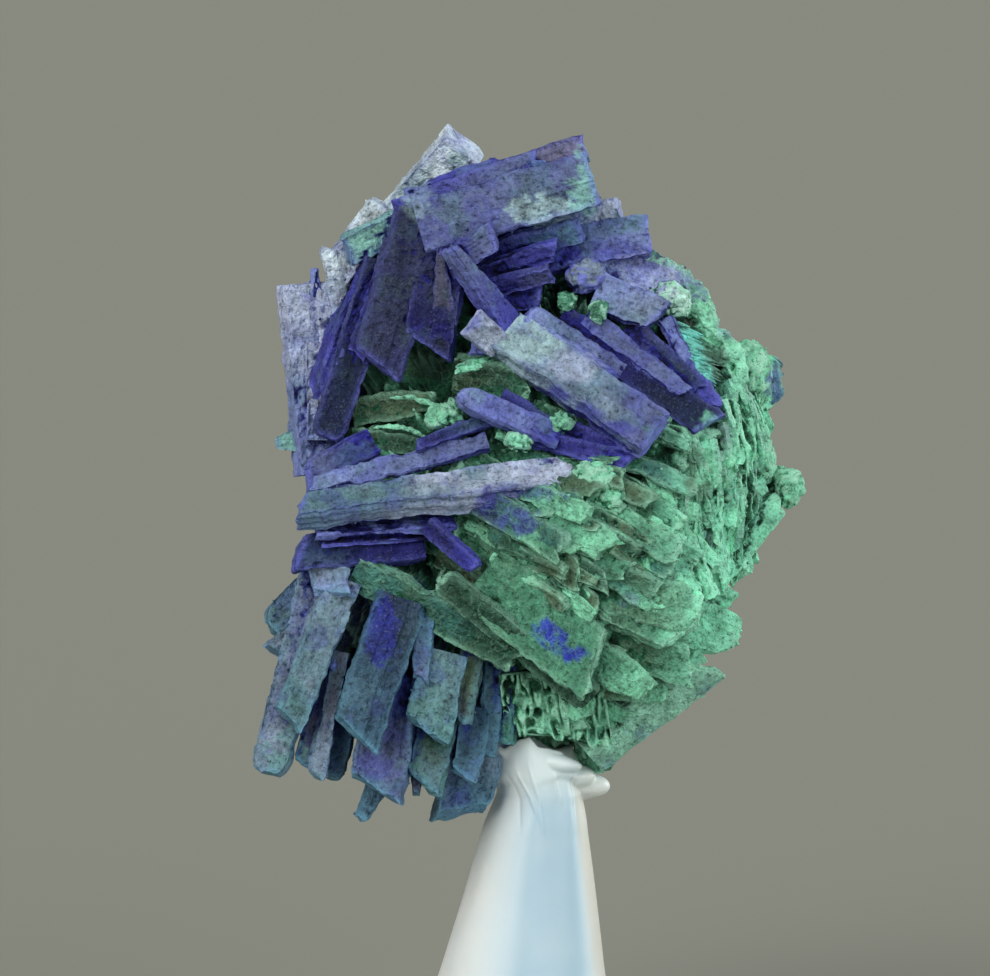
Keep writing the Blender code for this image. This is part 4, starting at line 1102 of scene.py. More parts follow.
def scale_shells(count, seed):
    """Small leaves on the mass: the ground's normal is the cross product of two short steps
    along it, and the scale's length is the slant projected on the ground, tilted by its lift."""
    rng = np.random.default_rng(seed)
    ways = unit(rng.normal(size=(count * 12, 3)))
    points = mass_surface(ways)
    side = unit(np.cross(ways, (0.13, 0.21, 0.97)))
    steps = [mass_surface(unit(ways + SHORT_STEP * way)) - points for way in (side, np.cross(side, ways))]
    normal = unit(np.cross(*steps))
    normal *= np.sign((normal * ways).sum(axis=1))[:, None]
    right, up, near = picture_place(points)
    green = (azurite_ground(right, up, near) < 0.2) & (right > -3.0) & (up > 21.5) & (up < 36.0)
    green &= (right < 8.6) & ((right < 3.4) | (up > 24.5)) & ((right > 0.5) | (up < 33.6))
    points, normal, right, up = (part[green][:count] for part in (points, normal, right, up))
    swollen = ease(-0.5, 1.0, right) * ease(9.5, 8.0, right) * ease(26.5, 28.0, up) * ease(35.5, 34.0, up)
    points = points + normal * (swollen * rng.uniform(0.0, 1.1, len(points)))[:, None]
    spread = rng.uniform(-10.0, 10.0, len(points))
    angle = np.radians(SLANT + SIDE_SLANT * ease(6.5, 10.0, right) + spread)
    slant = np.cos(angle)[:, None] * SIDEWAYS + np.sin(angle)[:, None] * PICTURE_UP
    slant = unit(slant - normal * (slant * normal).sum(axis=1, keepdims=True))
    lift = np.radians(rng.uniform(3.0, 14.0, len(points)))[:, None]
    roll = np.radians(rng.uniform(-28.0, 28.0, len(points)))[:, None]
    along = slant * np.cos(lift) + normal * np.sin(lift)
    facing = rolled(normal * np.cos(lift) - slant * np.sin(lift), along, roll)
    shells = []
    for i, point in enumerate(points):
        length, width = rng.uniform(2.4, 5.6), rng.uniform(0.7, 1.8)
        base, top = rng.choice(SCALE_TONES, 2)
        end = rng.choice(SCALE_ENDS)
        scale = Blade(f"scale_{i}", None, None, width, rng.uniform(0.28, 0.5), 0, end, base, top,
                      SCALE_CRUMBLE)
        place = lying(point, normal[i], along[i], facing[i], length, SCALE_SINK)
        shells.append(blade_shell(scale, SCALE_SEED + seed + i, SCALE_PITCH, place))
    return shells


# %% The curtain of the flank
PLEAT_TONES = ("leaf_pale", "mint", "leaf", "mint_pale")
PLEAT_ENDS = ("leaf", "round", "chisel")
PLEAT_SEED, PLEAT_PITCH, PLEAT_CRUMBLE, PLEAT_SINK = 900, 0.18, 0.6, 0.15


def curtain_shells(count, seed):
    """Thin upright leaves on the right flank, standing on edge like pleats: their broad face
    is turned sideways, so mostly the narrow side looks at the eye."""
    rng = np.random.default_rng(seed)
    ways = unit(rng.normal(size=(count * 14, 3)))
    points = mass_surface(ways)
    right, up, near = picture_place(points)
    inside = (right > 7.6 + 0.25 * np.abs(up - 31.0)) & (up > 25.0) & (up < 37.5) & (near > -4.0)
    inside &= (up < 34.2) | (right > 10.2)
    shells = []
    for i, (point, out) in enumerate(zip(points[inside][:count], ways[inside][:count])):
        steep = np.radians(rng.uniform(-100.0, -62.0))
        along = SIDEWAYS * np.cos(steep) + PICTURE_UP * np.sin(steep)
        along = unit(along - out * (along @ out))
        turn = np.radians(rng.uniform(50.0, 88.0) * rng.choice((-1.0, 1.0)))
        length, width = rng.uniform(1.2, 3.4), rng.uniform(0.8, 1.5)
        base, _ = rng.choice(PLEAT_TONES, 2)
        pleat = Blade(f"pleat_{i}", None, None, width, rng.uniform(0.12, 0.24), 0,
                      rng.choice(PLEAT_ENDS), base, "leaf_pale", PLEAT_CRUMBLE)
        place = lying(point, out, along, rolled(out, along, turn), length, PLEAT_SINK)
        shells.append(blade_shell(pleat, PLEAT_SEED + seed + i, PLEAT_PITCH, place))
    return shells


# %% The comb of ribs
COMB = Blade("comb", (1.55, 23.6, 5.0), (1.95, 20.2, 3.9), 5.2, 1.2, 4, "flat", "leaf_dark", "leaf")
COMB_ROWS = 60
FOLD_SPACING = 0.42


def comb_shell():
    """The ribbed curtain over the holder: a slab whose front is folded into ribs that run down,
    one every 0.42 mm.  They sway, break off in places and are crumbly, and the hem frays."""
    place = blade_place(COMB)
    x, z, _, face_z = section(COMB.width, COMB.thick, 130, 8, 16)
    share = np.concatenate(((0.0,), np.linspace(0.0, 1.0, COMB_ROWS), (1.0,)))[:, None]
    inset = np.concatenate(((0.5,), np.ones(COMB_ROWS), (0.6,)))[:, None]
    x = x[None, :] * COMB.width * 0.5
    z = z[None, :] * COMB.thick * 0.5 * inset
    y = share * place[1] * np.ones_like(x)
    spot = np.stack(np.broadcast_arrays(x, y, z), axis=-1) + 3.3
    sway = 0.34 * drawn_out(spot, (1.3, 0.4, 0.0), 1.0, 1.0)
    sway += 0.16 * drawn_out(spot, (3.4, 1.1, 0.0), 1.0, 8.0)
    fold = np.abs((((x + sway) / FOLD_SPACING) % 1.0) - 0.5) * 2.0
    whole = ease(-0.25, 0.25, drawn_out(spot, (1.2, 0.7, 0.0), 0.55, 6.0))
    ridge = ease(0.1, 0.75, fold) * whole
    crumb = crests(spot * np.array((1.0, 0.6, 1.0)), 0.42, 3.0)
    relief = 0.42 * ridge + 0.4 * rough(spot, 0.8, 2.0) + 0.26 * crumb - 0.4
    hem = 0.5 * drawn_out(spot, (2.4, 0.0, 0.4), 1.0, 4.0) - 0.36 * x
    y = y + hem * ease(0.2, 1.0, share)
    z = z + relief * np.broadcast_to(face_z, z.shape)
    # Partly painted light: crests and crumbs are painted towards mint as highlight and the grooves towards
    # dark leaf green and brown as shade, over the comb's own mint and brown.
    rib_light = np.clip(0.36 + 0.6 * ridge + 0.5 * crumb, 0.0, 1.0)
    tone = towards(TONES["leaf_dark"], TONES["mint"], rib_light)
    tone = towards(tone, TONES["leaf_brown"], ease(0.0, 0.35, noise(spot, 0.8, 5.0)) * (1.0 - rib_light))
    return closed_shell(*carried(place, x, y, z), tone, ease(0.6, 1.0, rib_light),
                        np.clip(1.0 + relief * 1.6, 0.0, 1.4))


print("the comb has", len(comb_shell().points), "points")

# %% [markdown]
# ## Build the stone
# Everything above is now put to work.  Each group becomes one piece that stands for the packed
# cluster.

# %% Pieces of the cluster
CRUMBLED = {"left_column": 0.9, "column_step": 0.8, "crumbled_slab": 1.0, "grey_slab": 0.8,
            "lavender_cap": 0.9, "lavender_slab": 0.9, "porous_block": 1.0, "shoulder_slab": 0.7,
            "shoulder_step": 0.7, "peak_block": 0.2, "speckled_plate": 0.8, "pale_chip": 0.6,
            "violet_block": 0.9, "head_slab": 0.6, "blue_foot_block": 0.6}
SLIGHTLY_CRUMBLED = 0.15
LEAF_CRUMBLE = 0.8
LEAF_THINNING = 0.65
FRONT_PITCH, BACK_PITCH = 0.11, 0.17
SMALL_LEAVES = 210
MASS_RINGS, MASS_AROUND = 190, 500


def stone_piece(name, shells, material, smooth=True):
    """A piece of the stone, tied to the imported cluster."""
    obj = mesh_object(name, shells, material, smooth)
    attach(obj, "root")
    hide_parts("azurite_cluster")
    return obj


def blades_object(name, blades, first_seed, pitch, material=AZURITE):
    """One mesh of many blades, each with its own seed."""
    shells = [blade_shell(blade._replace(crumble=CRUMBLED.get(blade.name, SLIGHTLY_CRUMBLED)),
                          first_seed + i, pitch) for i, blade in enumerate(blades)]
    return stone_piece(name, shells, material, smooth=False)


def leaves_object(name, blades, first_seed, pitch, widen):
    """One mesh of malachite leaves: blades that are wider, thinner and more crumpled."""
    shells = [blade_shell(blade._replace(width=blade.width * widen, thick=blade.thick * LEAF_THINNING,
                                         crumble=LEAF_CRUMBLE), first_seed + i, pitch)
              for i, blade in enumerate(blades)]
    return stone_piece(name, shells, MALACHITE, smooth=False)


def knobs_object(name, lumps, first_seed, material):
    """One mesh of many knobs."""
    return stone_piece(name, [knob_shell(lump, first_seed + i) for i, lump in enumerate(lumps)], material)


SHEETS = [blade for blade in LEAVES if blade.name in ("smooth_sail", "rear_fin")]
CRUMPLED = [blade for blade in LEAVES if blade not in SHEETS]
BACK_AZURITE = [blade for blade in BACK if blade.end != "leaf"]
BACK_LEAVES = [blade for blade in BACK if blade.end == "leaf"]
AZURITE_KNOBS = [lump for lump in KNOBS if lump.tone in ("grey", "teal")]
MALACHITE_KNOBS = [lump for lump in KNOBS if lump not in AZURITE_KNOBS]
azurite_pieces = [
    blades_object("azurite_top", TOP_BLADES, 1, FRONT_PITCH),
    blades_object("azurite_centre", CENTRE_BLADES, 50, FRONT_PITCH),
    blades_object("azurite_lower", LOWER_BLADES, 90, FRONT_PITCH, PATINA),
    blades_object("azurite_back", BACK_AZURITE, 130, BACK_PITCH),
    knobs_object("azurite_knobs", AZURITE_KNOBS, 0, AZURITE),
]
malachite_pieces = [
    leaves_object("malachite_leaves", CRUMPLED, 200, FRONT_PITCH, 1.15),
    blades_object("malachite_sheets", SHEETS, 255, FRONT_PITCH, MALACHITE),
    leaves_object("malachite_back", BACK_LEAVES, 260, BACK_PITCH, 1.2),
    stone_piece("malachite_comb", [comb_shell()], MALACHITE),
    stone_piece("malachite_scales", scale_shells(SMALL_LEAVES, 7), MALACHITE, smooth=False),
    stone_piece("malachite_curtain", curtain_shells(SMALL_LEAVES, 3), MALACHITE, smooth=False),
    stone_piece("malachite_mass", [mass_shell(MASS_RINGS, MASS_AROUND)], MALACHITE),
    knobs_object("malachite_knobs", MALACHITE_KNOBS, 20, MALACHITE),
]

# %% [markdown]
# ## Ridges and fibres
# Three thin things are too fine to be blades.  A bright mint ridge curls down the right
# shoulder, two green lips stand in the slits at the left, and a tuft of cyan fibres bends
# into the dark hollow at the right.

# %% A rope carried along a path
def rope_shell(path, radius, seed, tone, knot=0.25, rings=60, around=14):
    """A round rope: the path's points are joined by length, then a circle of the radius is
    carried along it, thin at both ends (the root of a half sine) and lumpy by noise."""
    marks = np.array([from_front(point) for point in path])
    run = np.concatenate(((0.0,), np.cumsum(np.linalg.norm(np.diff(marks, axis=0), axis=1))))
    share = np.linspace(0.0, 1.0, rings)
    spread = run[-1] / (len(marks) - 1) * 0.25
    line = sum(np.stack([np.interp(share * run[-1] + shift, run, marks[:, k]) for k in range(3)], -1)
               for shift in (-spread, 0.0, spread)) / 3.0
    ahead = unit(np.gradient(line, axis=0))
    side = unit(np.cross(ahead, TOWARDS_EYE))
    out = np.cross(side, ahead)
    turn = np.linspace(0.0, 2.0 * math.pi, around, endpoint=False)
    circle = side[:, None] * np.cos(turn)[:, None] - out[:, None] * np.sin(turn)[:, None]
    thin = np.sqrt(np.sin(math.pi * np.clip(share, 0.02, 0.98)))[:, None, None]
    spot = line[:, None] + circle * radius + seed * 9.1
    lumps = 1.0 + knot * (noise(spot, radius * 1.6, 1.0) + 0.6 * noise(spot, radius * 0.7, 2.0))[..., None]
    rings_at = line[:, None] + circle * radius * thin * lumps
    colour = np.broadcast_to(tone, rings_at.shape)
    level = np.full(rings_at.shape[:2], 0.3)
    return closed_shell(line[0], rings_at, line[-1], colour, level, level + 0.8)


# %% The ridge, the lips and the tuft
RIDGE_PATH = ((8.0, 41.8, 3.0), (9.3, 41.0, 3.0), (10.3, 40.0, 2.8), (10.9, 38.8, 2.7),
              (10.9, 37.6, 2.8), (10.3, 36.5, 3.0))
LIP_PATHS = (((-6.6, 37.1, 4.8), (-5.4, 37.15, 5.0), (-4.2, 36.7, 5.1), (-3.6, 36.3, 5.2)),
             ((-7.4, 35.6, 4.9), (-6.4, 35.7, 5.2), (-5.4, 35.5, 5.3), (-4.5, 35.0, 5.3)))
TUFT_START = np.array((7.7, 40.9, 3.5))
TUFT_RUN = np.array((1.3, -2.4, 0.9))
TUFT_FIBRES = 170


def tuft_shells(count):
    """Thin fibres from beside the ridge into the hollow: each bends the same way, by its own
    amount, and starts at its own place in a narrow band."""
    rng = np.random.default_rng(5)
    shells = []
    for index in range(count):
        start = TUFT_START + rng.uniform() * TUFT_RUN
        start = start + rng.uniform(-0.2, 0.2, 3)
        drop = rng.uniform(0.3, 1.1)
        lean = rng.uniform(0.5, 1.3)
        middle = start + np.array((lean * 0.35, -drop * 0.5, 0.5))
        end = start + np.array((lean, -drop, 0.1))
        tone = TONES["cyan"] * (0.7 + 0.6 * rng.uniform())
        radius = rng.uniform(0.05, 0.09)
        shells.append(rope_shell((start, middle, end), radius, index, tone, 0.1, 12, 6))
    return shells


ropes = [rope_shell(RIDGE_PATH, 0.42, 1, TONES["mint"], 1.0, 160, 30)]
ropes += [rope_shell(path, 0.13, 2 + i, TONES["leaf_pale"], 0.6) for i, path in enumerate(LIP_PATHS)]
thin_pieces = [stone_piece("mint_ridges", ropes, MALACHITE),
               stone_piece("cyan_tuft", tuft_shells(TUFT_FIBRES), MALACHITE)]

# %% [markdown]
# ## Grains
# Loose-looking grains sit all over the stone.  One grain is a pebble of twenty faces.  A few
# thousand copies are placed at points of the surfaces, turned and stretched at random, all in
# one array.

# %% Grains from points of the surfaces
GRAIN_DUST = (205, 214, 232)
GRAIN_SINK = 0.25


def surface_points(obj):
    """Points and outward directions of a piece, in millimetres."""
    count = len(obj.data.vertices)
    points = np.empty(count * 3, dtype=np.float32)
    normals = np.empty(count * 3, dtype=np.float32)
    obj.data.vertices.foreach_get("co", points)
    obj.data.vertex_normals.foreach_get("vector", normals)
    return points.reshape(-1, 3).astype(float) / MM, normals.reshape(-1, 3).astype(float)


def surface_tones(obj):
    """The tone of each point of a piece."""
    values = np.empty(len(obj.data.vertices) * 4, dtype=np.float32)
    obj.data.color_attributes["tone"].data.foreach_get("color", values)
    return values.reshape(-1, 4)[:, :3]


def pebble():
    """The twenty-faced solid: points at (0, 1, g) turned round the axes, g the golden ratio."""
    g = (1.0 + math.sqrt(5.0)) * 0.5
    corners = np.array([(-1, g, 0), (1, g, 0), (-1, -g, 0), (1, -g, 0), (0, -1, g), (0, 1, g),
                        (0, -1, -g), (0, 1, -g), (g, 0, -1), (g, 0, 1), (-g, 0, -1), (-g, 0, 1)])
    faces = np.array([(0, 11, 5), (0, 5, 1), (0, 1, 7), (0, 7, 10), (0, 10, 11), (1, 5, 9),
                      (5, 11, 4), (11, 10, 2), (10, 7, 6), (7, 1, 8), (3, 9, 4), (3, 4, 2),
                      (3, 2, 6), (3, 6, 8), (3, 8, 9), (4, 9, 5), (2, 4, 11), (6, 2, 10),
                      (8, 6, 7), (9, 8, 1)])
    return corners / math.sqrt(1.0 + g * g), faces


def grain_object(name, hosts, count, sizes, brighten, material, seed):
    """Grains at random surface points: size falls off so that most are small, and each takes the
    tone of the ground under it, brightened."""
    rng = np.random.default_rng(seed)
    at, out = (np.concatenate(part) for part in zip(*map(surface_points, hosts)))
    tone = np.concatenate([surface_tones(host) for host in hosts])
    pick = rng.integers(0, len(at), count)
    corners, faces = pebble()
    size = sizes[0] + (sizes[1] - sizes[0]) * rng.uniform(size=count) ** 2.5
    turn, _ = np.linalg.qr(rng.normal(size=(count, 3, 3)))
    turn = turn * np.sign(np.linalg.det(turn))[:, None, None]
    stretch = rng.uniform(0.6, 1.3, (count, 1, 3))
    points = np.einsum("nij,nkj->nki", turn, corners[None] * stretch) * size[:, None, None]
    points = points + (at[pick] + out[pick] * size[:, None] * GRAIN_SINK)[:, None]
    colour = towards(tone[pick], linear(GRAIN_DUST), rng.uniform(0.0, brighten, count))
    colour = np.repeat(colour, len(corners), axis=0)
    tris = (faces[None] + np.arange(count)[:, None, None] * len(corners)).reshape(-1, 3)
    level = np.full(count * len(corners), 0.15)
    shell = Shell(points.reshape(-1, 3), np.empty((0, 4), dtype=int), tris, colour, level, level * 3.0)
    return stone_piece(name, [shell], material, smooth=False)


grain_pieces = [
    grain_object("azurite_grains", azurite_pieces, 5000, (0.03, 0.085), 0.04, AZURITE, 21),
    grain_object("malachite_grains", malachite_pieces, 7000, (0.03, 0.11), 0.1, MALACHITE, 22),
]

# %% [markdown]
# ## Painted shade in the cracks
# Cracks are painted with the deep colour as shade and open faces keep their pale tone, so every
# point needs to know how much stone crowds round it.  All points are dropped into small boxes, the
# boxes are blurred, and the crowd just outside each point is read off: much stone there means a crack.

# %% Crowding round each point
CRACK_SHADE_BOX = 0.2
CRACK_SHADE_MARGIN = 3.0
SHORT_LOOK = (0.55, 3, 0.32)
LONG_LOOK = (1.6, 8, 0.26)


def box_blur(grid, reach):
    """Mean over a cube of 2 reach + 1 boxes a side, by running sums along each axis."""
    for axis in range(3):
        pad = [(0, 0)] * 3
        pad[axis] = (reach + 1, reach)
        total = np.cumsum(np.pad(grid, pad), axis=axis)
        size = grid.shape[axis]
        high = np.take(total, np.arange(size) + 2 * reach + 1, axis=axis)
        low = np.take(total, np.arange(size), axis=axis)
        grid = (high - low) / (2 * reach + 1)
    return grid


def write_crack_shade(objects):
    """Writes for each point how open it is, from 0, in a crack, to 1, on an outer edge: a baked
    occlusion that the finish paints as shade in the cracks.  The crowd is read at two looks, each a
    distance in mm, a reach in boxes and the share that is usual."""
    gathered = [surface_points(obj) for obj in objects]
    points = np.concatenate([pair[0] for pair in gathered])
    low = points.min(axis=0) - CRACK_SHADE_MARGIN
    shape = ((points.max(axis=0) + CRACK_SHADE_MARGIN - low) / CRACK_SHADE_BOX).astype(int) + 1
    filled = np.zeros(tuple(shape), dtype=np.float32)
    filled[tuple(((points - low) / CRACK_SHADE_BOX).astype(int).T)] = 1.0
    blurred = [(away, box_blur(filled, reach), usual) for away, reach, usual in (SHORT_LOOK, LONG_LOOK)]
    for obj, (at, out) in zip(objects, gathered):
        crowd = sum(grid[tuple(((at + out * away - low) / CRACK_SHADE_BOX).astype(int).T)] / usual
                    for away, grid, usual in blurred)
        # Painted shade: as this value falls, the finish darkens the point towards the deep colour.
        value = 1.0 - ease(0.8, 2.0, crowd)
        write_layer(obj.data, "open_to_light", value)
        print(obj.name, "open to the sky by", value.mean().round(2), "on average")


write_crack_shade(azurite_pieces + malachite_pieces + thin_pieces + grain_pieces)

# %% [markdown]
# ## The putty cone
# The holder is a cone of putty pressed by hand: a wide foot, a slim waist, and a torn rim that
# grips the stone.  It is a surface over height and angle: the radius follows the rings of the
# solid, fingers have left flat spots, creases and raised streaks run down from the rim, and
# three rolls are squeezed out at the right.

# %% Measures of the cone
PUTTY_RINGS = np.array((
    # height, half width, sideways shift in millimetres
    (0.0, 8.8, 0.0), (0.9, 8.9, 0.0), (1.7, 8.2, 0.0), (3.2, 6.4, -0.1), (5.2, 4.95, -0.15),
    (8.2, 4.1, 0.1), (12.0, 3.25, 0.45), (15.2, 2.6, 0.7), (17.2, 2.2, 0.95),
    (18.7, 2.1, 0.75), (19.7, 1.9, 0.6)))
RIM_HEIGHTS = np.array((
    # place across in millimetres and height of the torn rim there, seen from the front
    (-1.5, 19.0), (-1.2, 19.8), (-0.8, 19.7), (0.0, 20.15), (0.45, 20.35), (0.9, 19.8),
    (1.8, 19.5), (2.3, 19.3), (2.8, 18.8), (3.2, 18.4)))
RIM = 19.7
PUTTY_TOP = 20.3
COLLAR = 18.0
STREAK_HEIGHT, STREAK_WIDTH = 0.07, 0.04
STREAKS = (
    # turn at the upper end, lean, and the heights of the upper and the lower end
    (4.28, 0.235, 18.3, 15.9), (4.59, 0.1, 18.5, 15.2), (5.2, 0.05, 18.4, 16.6))
PADS = (
    # how far it stands out, its turn and width in radians, its height and half of how tall it is
    (0.5, 3.3, 0.3, 18.15, 0.32), (0.35, 3.7, 0.28, 19.5, 0.3))
ROLLS = ((from_front((3.35, 17.7, 0.6)), (1.12, 0.85, 0.62)),
         (from_front((2.7, 18.25, 1.4)), (1.1, 0.9, 0.62)),
         (from_front((1.9, 18.95, 2.6)), (1.15, 1.0, 0.6)))
PUTTY_TONE = (178, 207, 222)
PUTTY_ROWS, PUTTY_CAP, PUTTY_AROUND = 230, 22, 340
print("the cone is", PUTTY_TOP, "mm high with", len(ROLLS), "rolls at its rim")

# %% Surface of the cone
def collar_swell(turn, rise, spot, torn):
    """How far the squeezed putty stands out under the rim: the collar, streaks and pads."""
    lip = COLLAR + 0.9 * torn
    collar = ease(lip - 0.2, lip + 0.2, rise)
    aside = 0.95 * np.cos(turn) ** 2 + 0.22 * noise(spot, 1.6, 12.0)
    swell = aside * 0.34 * collar * (1.0 - 0.5 * ease(lip, lip + 1.9, rise)) + 0.05 * collar * torn
    for first, lean, top, low in STREAKS:
        line = np.exp(-((turn - first - lean * (top - rise)) / STREAK_WIDTH) ** 2)
        line = line * ease(low, low + 0.8, rise) * ease(top + 0.4, top - 0.2, rise)
        swell += STREAK_HEIGHT * line
    for height, side, wide, middle, tall in PADS:
        swell += height * np.exp(-((turn - side) / wide) ** 2 - ((rise - middle) / tall) ** 2)
    return swell


def putty_tone_and_light(turn, height):
    """Blue-white in the middle of the front, with painted light round the cone: paler at the left,
    creamy at the right, white behind and whitest at the rim."""
    tone = np.broadcast_to(linear(PUTTY_TONE), (*height.shape, 3))
    for colour, share in (((244, 249, 246), ease(0.1, -0.95, np.cos(turn))),
                          ((222, 218, 206), ease(0.75, 1.0, np.cos(turn))),
                          ((226, 230, 226), ease(-0.1, 0.7, np.sin(turn))),
                          ((236, 248, 246), ease(16.5, 18.5, height) * 0.8)):
        tone = towards(tone, linear(colour), share)
    return tone


def putty_shell(rows, cap, around):
    """Rings from the foot to the rim and over the top.  The radius is the rings' half width,
    pinched by three and seven waves round it, with what stands out under the rim, and where
    a squeezed-out roll reaches farther, the place where a ray leaves that roll instead."""
    turn = np.linspace(0.0, 2.0 * math.pi, around, endpoint=False)[None, :]
    rise = np.linspace(0.0, RIM, rows)[:, None]
    soft = [np.interp(rise + shift, PUTTY_RINGS[:, 0], PUTTY_RINGS[:, 1])
            for shift in (-0.5, -0.25, 0.0, 0.25, 0.5)]
    half = np.where(rise > 1.0, sum(soft) / 5.0, soft[2] - 0.35 * ease(0.5, 0.0, rise))
    grip = np.clip((rise - 6.0) / 10.0, 0.0, 1.0)
    fold = 1.0 + grip * (0.05 * np.sin(3.0 * turn + 0.6) + 0.02 * np.sin(7.0 * turn))
    spot = np.stack(np.broadcast_arrays(np.cos(turn) * 2.4, np.sin(turn) * 2.4, rise * 0.2), axis=-1)
    slanted = spot + rise[..., None] * 0.1 * SIDEWAYS
    creases = crests(slanted, 2.4, 3.0) ** 12 * ease(15.0, 17.0, rise) * ease(19.0, 18.0, rise)
    torn = 0.5 * noise(spot, 1.3, 8.0) + 0.2 * noise(spot, 0.5, 9.0)
    hand = noise(spot, 2.2, 6.0) * 0.09 + noise(spot, 0.8, 7.0) * 0.05 * ease(10.0, 18.0, rise)
    radius = half * fold - 0.12 * ease(15.5, 17.5, rise) + collar_swell(turn, rise, spot, torn)
    radius = radius - creases * 0.05 + hand * ease(0.5, 3.0, rise)
    middle = np.interp(rise, PUTTY_RINGS[:, 0], PUTTY_RINGS[:, 2])
    ray = np.stack((np.cos(turn), np.sin(turn), 0.0 * turn), axis=-1)
    for place, radii in ROLLS:
        offset = np.stack((middle - place[0], 0.0 * middle - place[1], rise - place[2]), axis=-1)
        roll = exit_distance(offset / radii, ray / radii)
        radius = np.maximum(radius, roll + 0.05 * noise(spot, 0.6, 5.0))
    front = np.interp(radius[-1:] * np.cos(turn) + middle[-1:], RIM_HEIGHTS[:, 0], RIM_HEIGHTS[:, 1])
    behind = RIM + 0.35 * np.sin(2.0 * turn + 2.2) - 0.25 * np.cos(turn)
    goal = front + (behind - front) * ease(-0.35, 0.35, np.sin(turn)) + 0.22 * torn[-1:]
    height = rise + (goal - RIM) * ease(17.9, RIM, rise)
    share = np.linspace(1.0, 0.05, cap)[1:, None]
    top_radius = radius[-1:] * share - 0.15 * (1.0 - share) * share
    top_height = height[-1:] * share + PUTTY_TOP * (1.0 - share) - 0.5 * np.sin(math.pi * share)
    radius = np.concatenate((radius, top_radius))
    height = np.concatenate((height, top_height))
    middle = np.interp(height, PUTTY_RINGS[:, 0], PUTTY_RINGS[:, 2])
    rings = np.stack((radius * np.cos(turn) + middle, radius * np.sin(turn), height), axis=-1)
    crease_grey = np.concatenate((creases, np.zeros((cap - 1, around))))
    return closed_shell(np.zeros(3), rings, rings[-1].mean(axis=0), putty_tone_and_light(turn, height), crease_grey,
                        np.ones_like(height))


# %% Finish of the putty
def putty_material():
    """Waxy putty: soft sheen, light that goes a little way in, and greyer in the creases."""
    material, tree, shader = new_material("putty")
    place = add_node(tree, "ShaderNodeTexCoord").outputs["Object"]
    mottle = noise_node(tree, place, 330.0, 3.0, 0.5)["Fac"]
    grain = noise_node(tree, place, 2600.0, 3.0, 0.6)["Fac"]
    pale = maths(tree, "MULTIPLY", step(tree, mottle, 0.4, 0.75), 0.3)
    body = blend(tree, pale, attribute(tree, "tone", "Color"), solid((206, 224, 230)))
    crease_grey = maths(tree, "MULTIPLY", step(tree, attribute(tree, "edge"), 0.1, 1.0), 0.35)
    height = maths(tree, "ADD", mottle, maths(tree, "MULTIPLY", grain, 0.3))
    feed(tree, shader, {
        "Base Color": blend(tree, crease_grey, body, solid((160, 166, 164))), "Roughness": 0.38,
        "Subsurface Weight": 0.25, "Subsurface Radius": (0.6, 0.8, 1.0), "Subsurface Scale": 0.0012,
        "Normal": bump(tree, height, 0.3, 0.0001)})
    return material


putty = mesh_object("putty", [putty_shell(PUTTY_ROWS, PUTTY_CAP, PUTTY_AROUND)], putty_material())
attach(putty, "root")
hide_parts("putty_stand")

# %% [markdown]
# ## Floor, light and camera
# The floor is pale and plain.  The light is that of large soft lamps far away: a key from the
# upper left, a low fill from the front right, and a glow from behind on the right.  The
# low ones brush the floor and light the upright stone, so the floor falls back to grey.

# %% Floor
FLOOR_HALF = 8.0


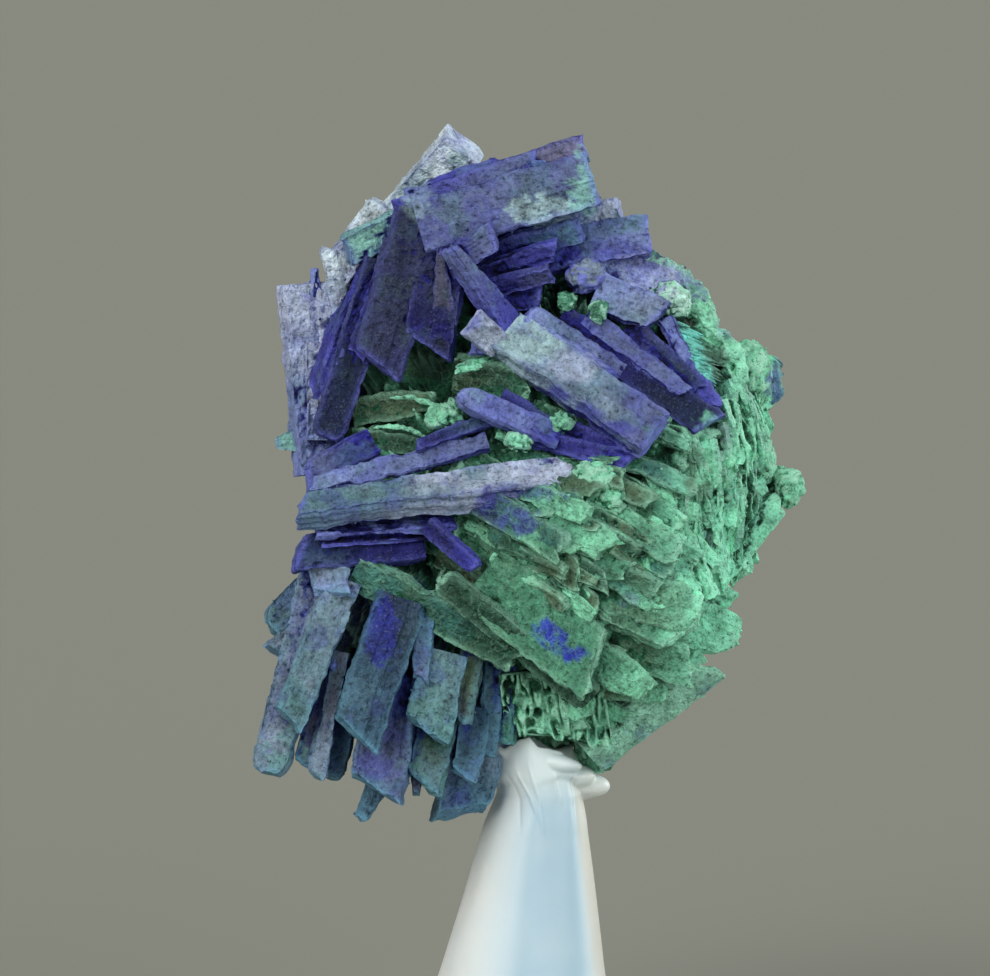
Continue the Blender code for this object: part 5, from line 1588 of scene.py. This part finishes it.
def plain_floor(half):
    """A square of the given half side at the height of the foot."""
    mesh = bpy.data.meshes.new("floor")
    mesh.from_pydata([(-half, -half, 0), (half, -half, 0), (half, half, 0), (-half, half, 0)], [],
                     [(0, 1, 2, 3)])
    material, tree, shader = new_material("floor")
    feed(tree, shader, {"Base Color": solid((157, 158, 148)), "Roughness": 1.0, "Specular IOR Level": 0.0})
    mesh.materials.append(material)
    floor = bpy.data.objects.new("floor", mesh)
    bpy.context.scene.collection.objects.link(floor)
    return floor


plain_floor(FLOOR_HALF)
print("the floor is", 2 * FLOOR_HALF, "m wide")

# %% Lights
def soft_sun(name, turn, height, strength, spread, colour):
    """A far lamp at turn degrees to the right of the camera and height degrees up; spread is
    how wide it looks from the stone, in degrees, which softens its shadows."""
    data = bpy.data.lights.new(name, "SUN")
    data.energy = strength
    data.angle = math.radians(spread)
    data.color = colour
    lamp = bpy.data.objects.new(name, data)
    turn, height = math.radians(turn), math.radians(height)
    source = Vector((math.sin(turn) * math.cos(height), -math.cos(turn) * math.cos(height),
                     math.sin(height)))
    lamp.rotation_euler = source.to_track_quat("Z", "Y").to_euler()
    bpy.context.scene.collection.objects.link(lamp)


soft_sun("key", -38.0, 34.0, 2.15, 45.0, (1.0, 0.98, 0.95))
soft_sun("fill", 36.0, 7.0, 1.9, 60.0, (0.95, 0.98, 1.0))
soft_sun("glow", 115.0, 14.0, 2.0, 40.0, (0.95, 1.0, 0.98))
world = bpy.data.worlds.new("studio")
world.use_nodes = True
feed(world.node_tree, world.node_tree.nodes["Background"],
     {"Color": (1.0, 1.0, 0.98, 1.0), "Strength": 0.1})
bpy.context.scene.world = world
bpy.context.scene.view_settings.view_transform = "Standard"
print("three lamps and a dim studio round them")

# %% Camera
PICTURE_WIDTH = 49.5


def picture_camera():
    """A long lens 400 mm from the stone, whose picture is 49.5 mm wide at the stone."""
    data = bpy.data.cameras.new("camera")
    data.sensor_width = 36.0
    data.lens = data.sensor_width * VIEW_DISTANCE / PICTURE_WIDTH
    camera = bpy.data.objects.new("camera", data)
    back = Vector(TOWARDS_EYE)
    camera.location = Vector((AIM_RIGHT, 0.0, AIM_UP)) * MM + back * VIEW_DISTANCE * MM
    camera.rotation_euler = back.to_track_quat("Z", "Y").to_euler()
    bpy.context.scene.collection.objects.link(camera)
    return camera


bpy.context.scene.camera = picture_camera()
print("the lens is", round(bpy.context.scene.camera.data.lens), "mm long")
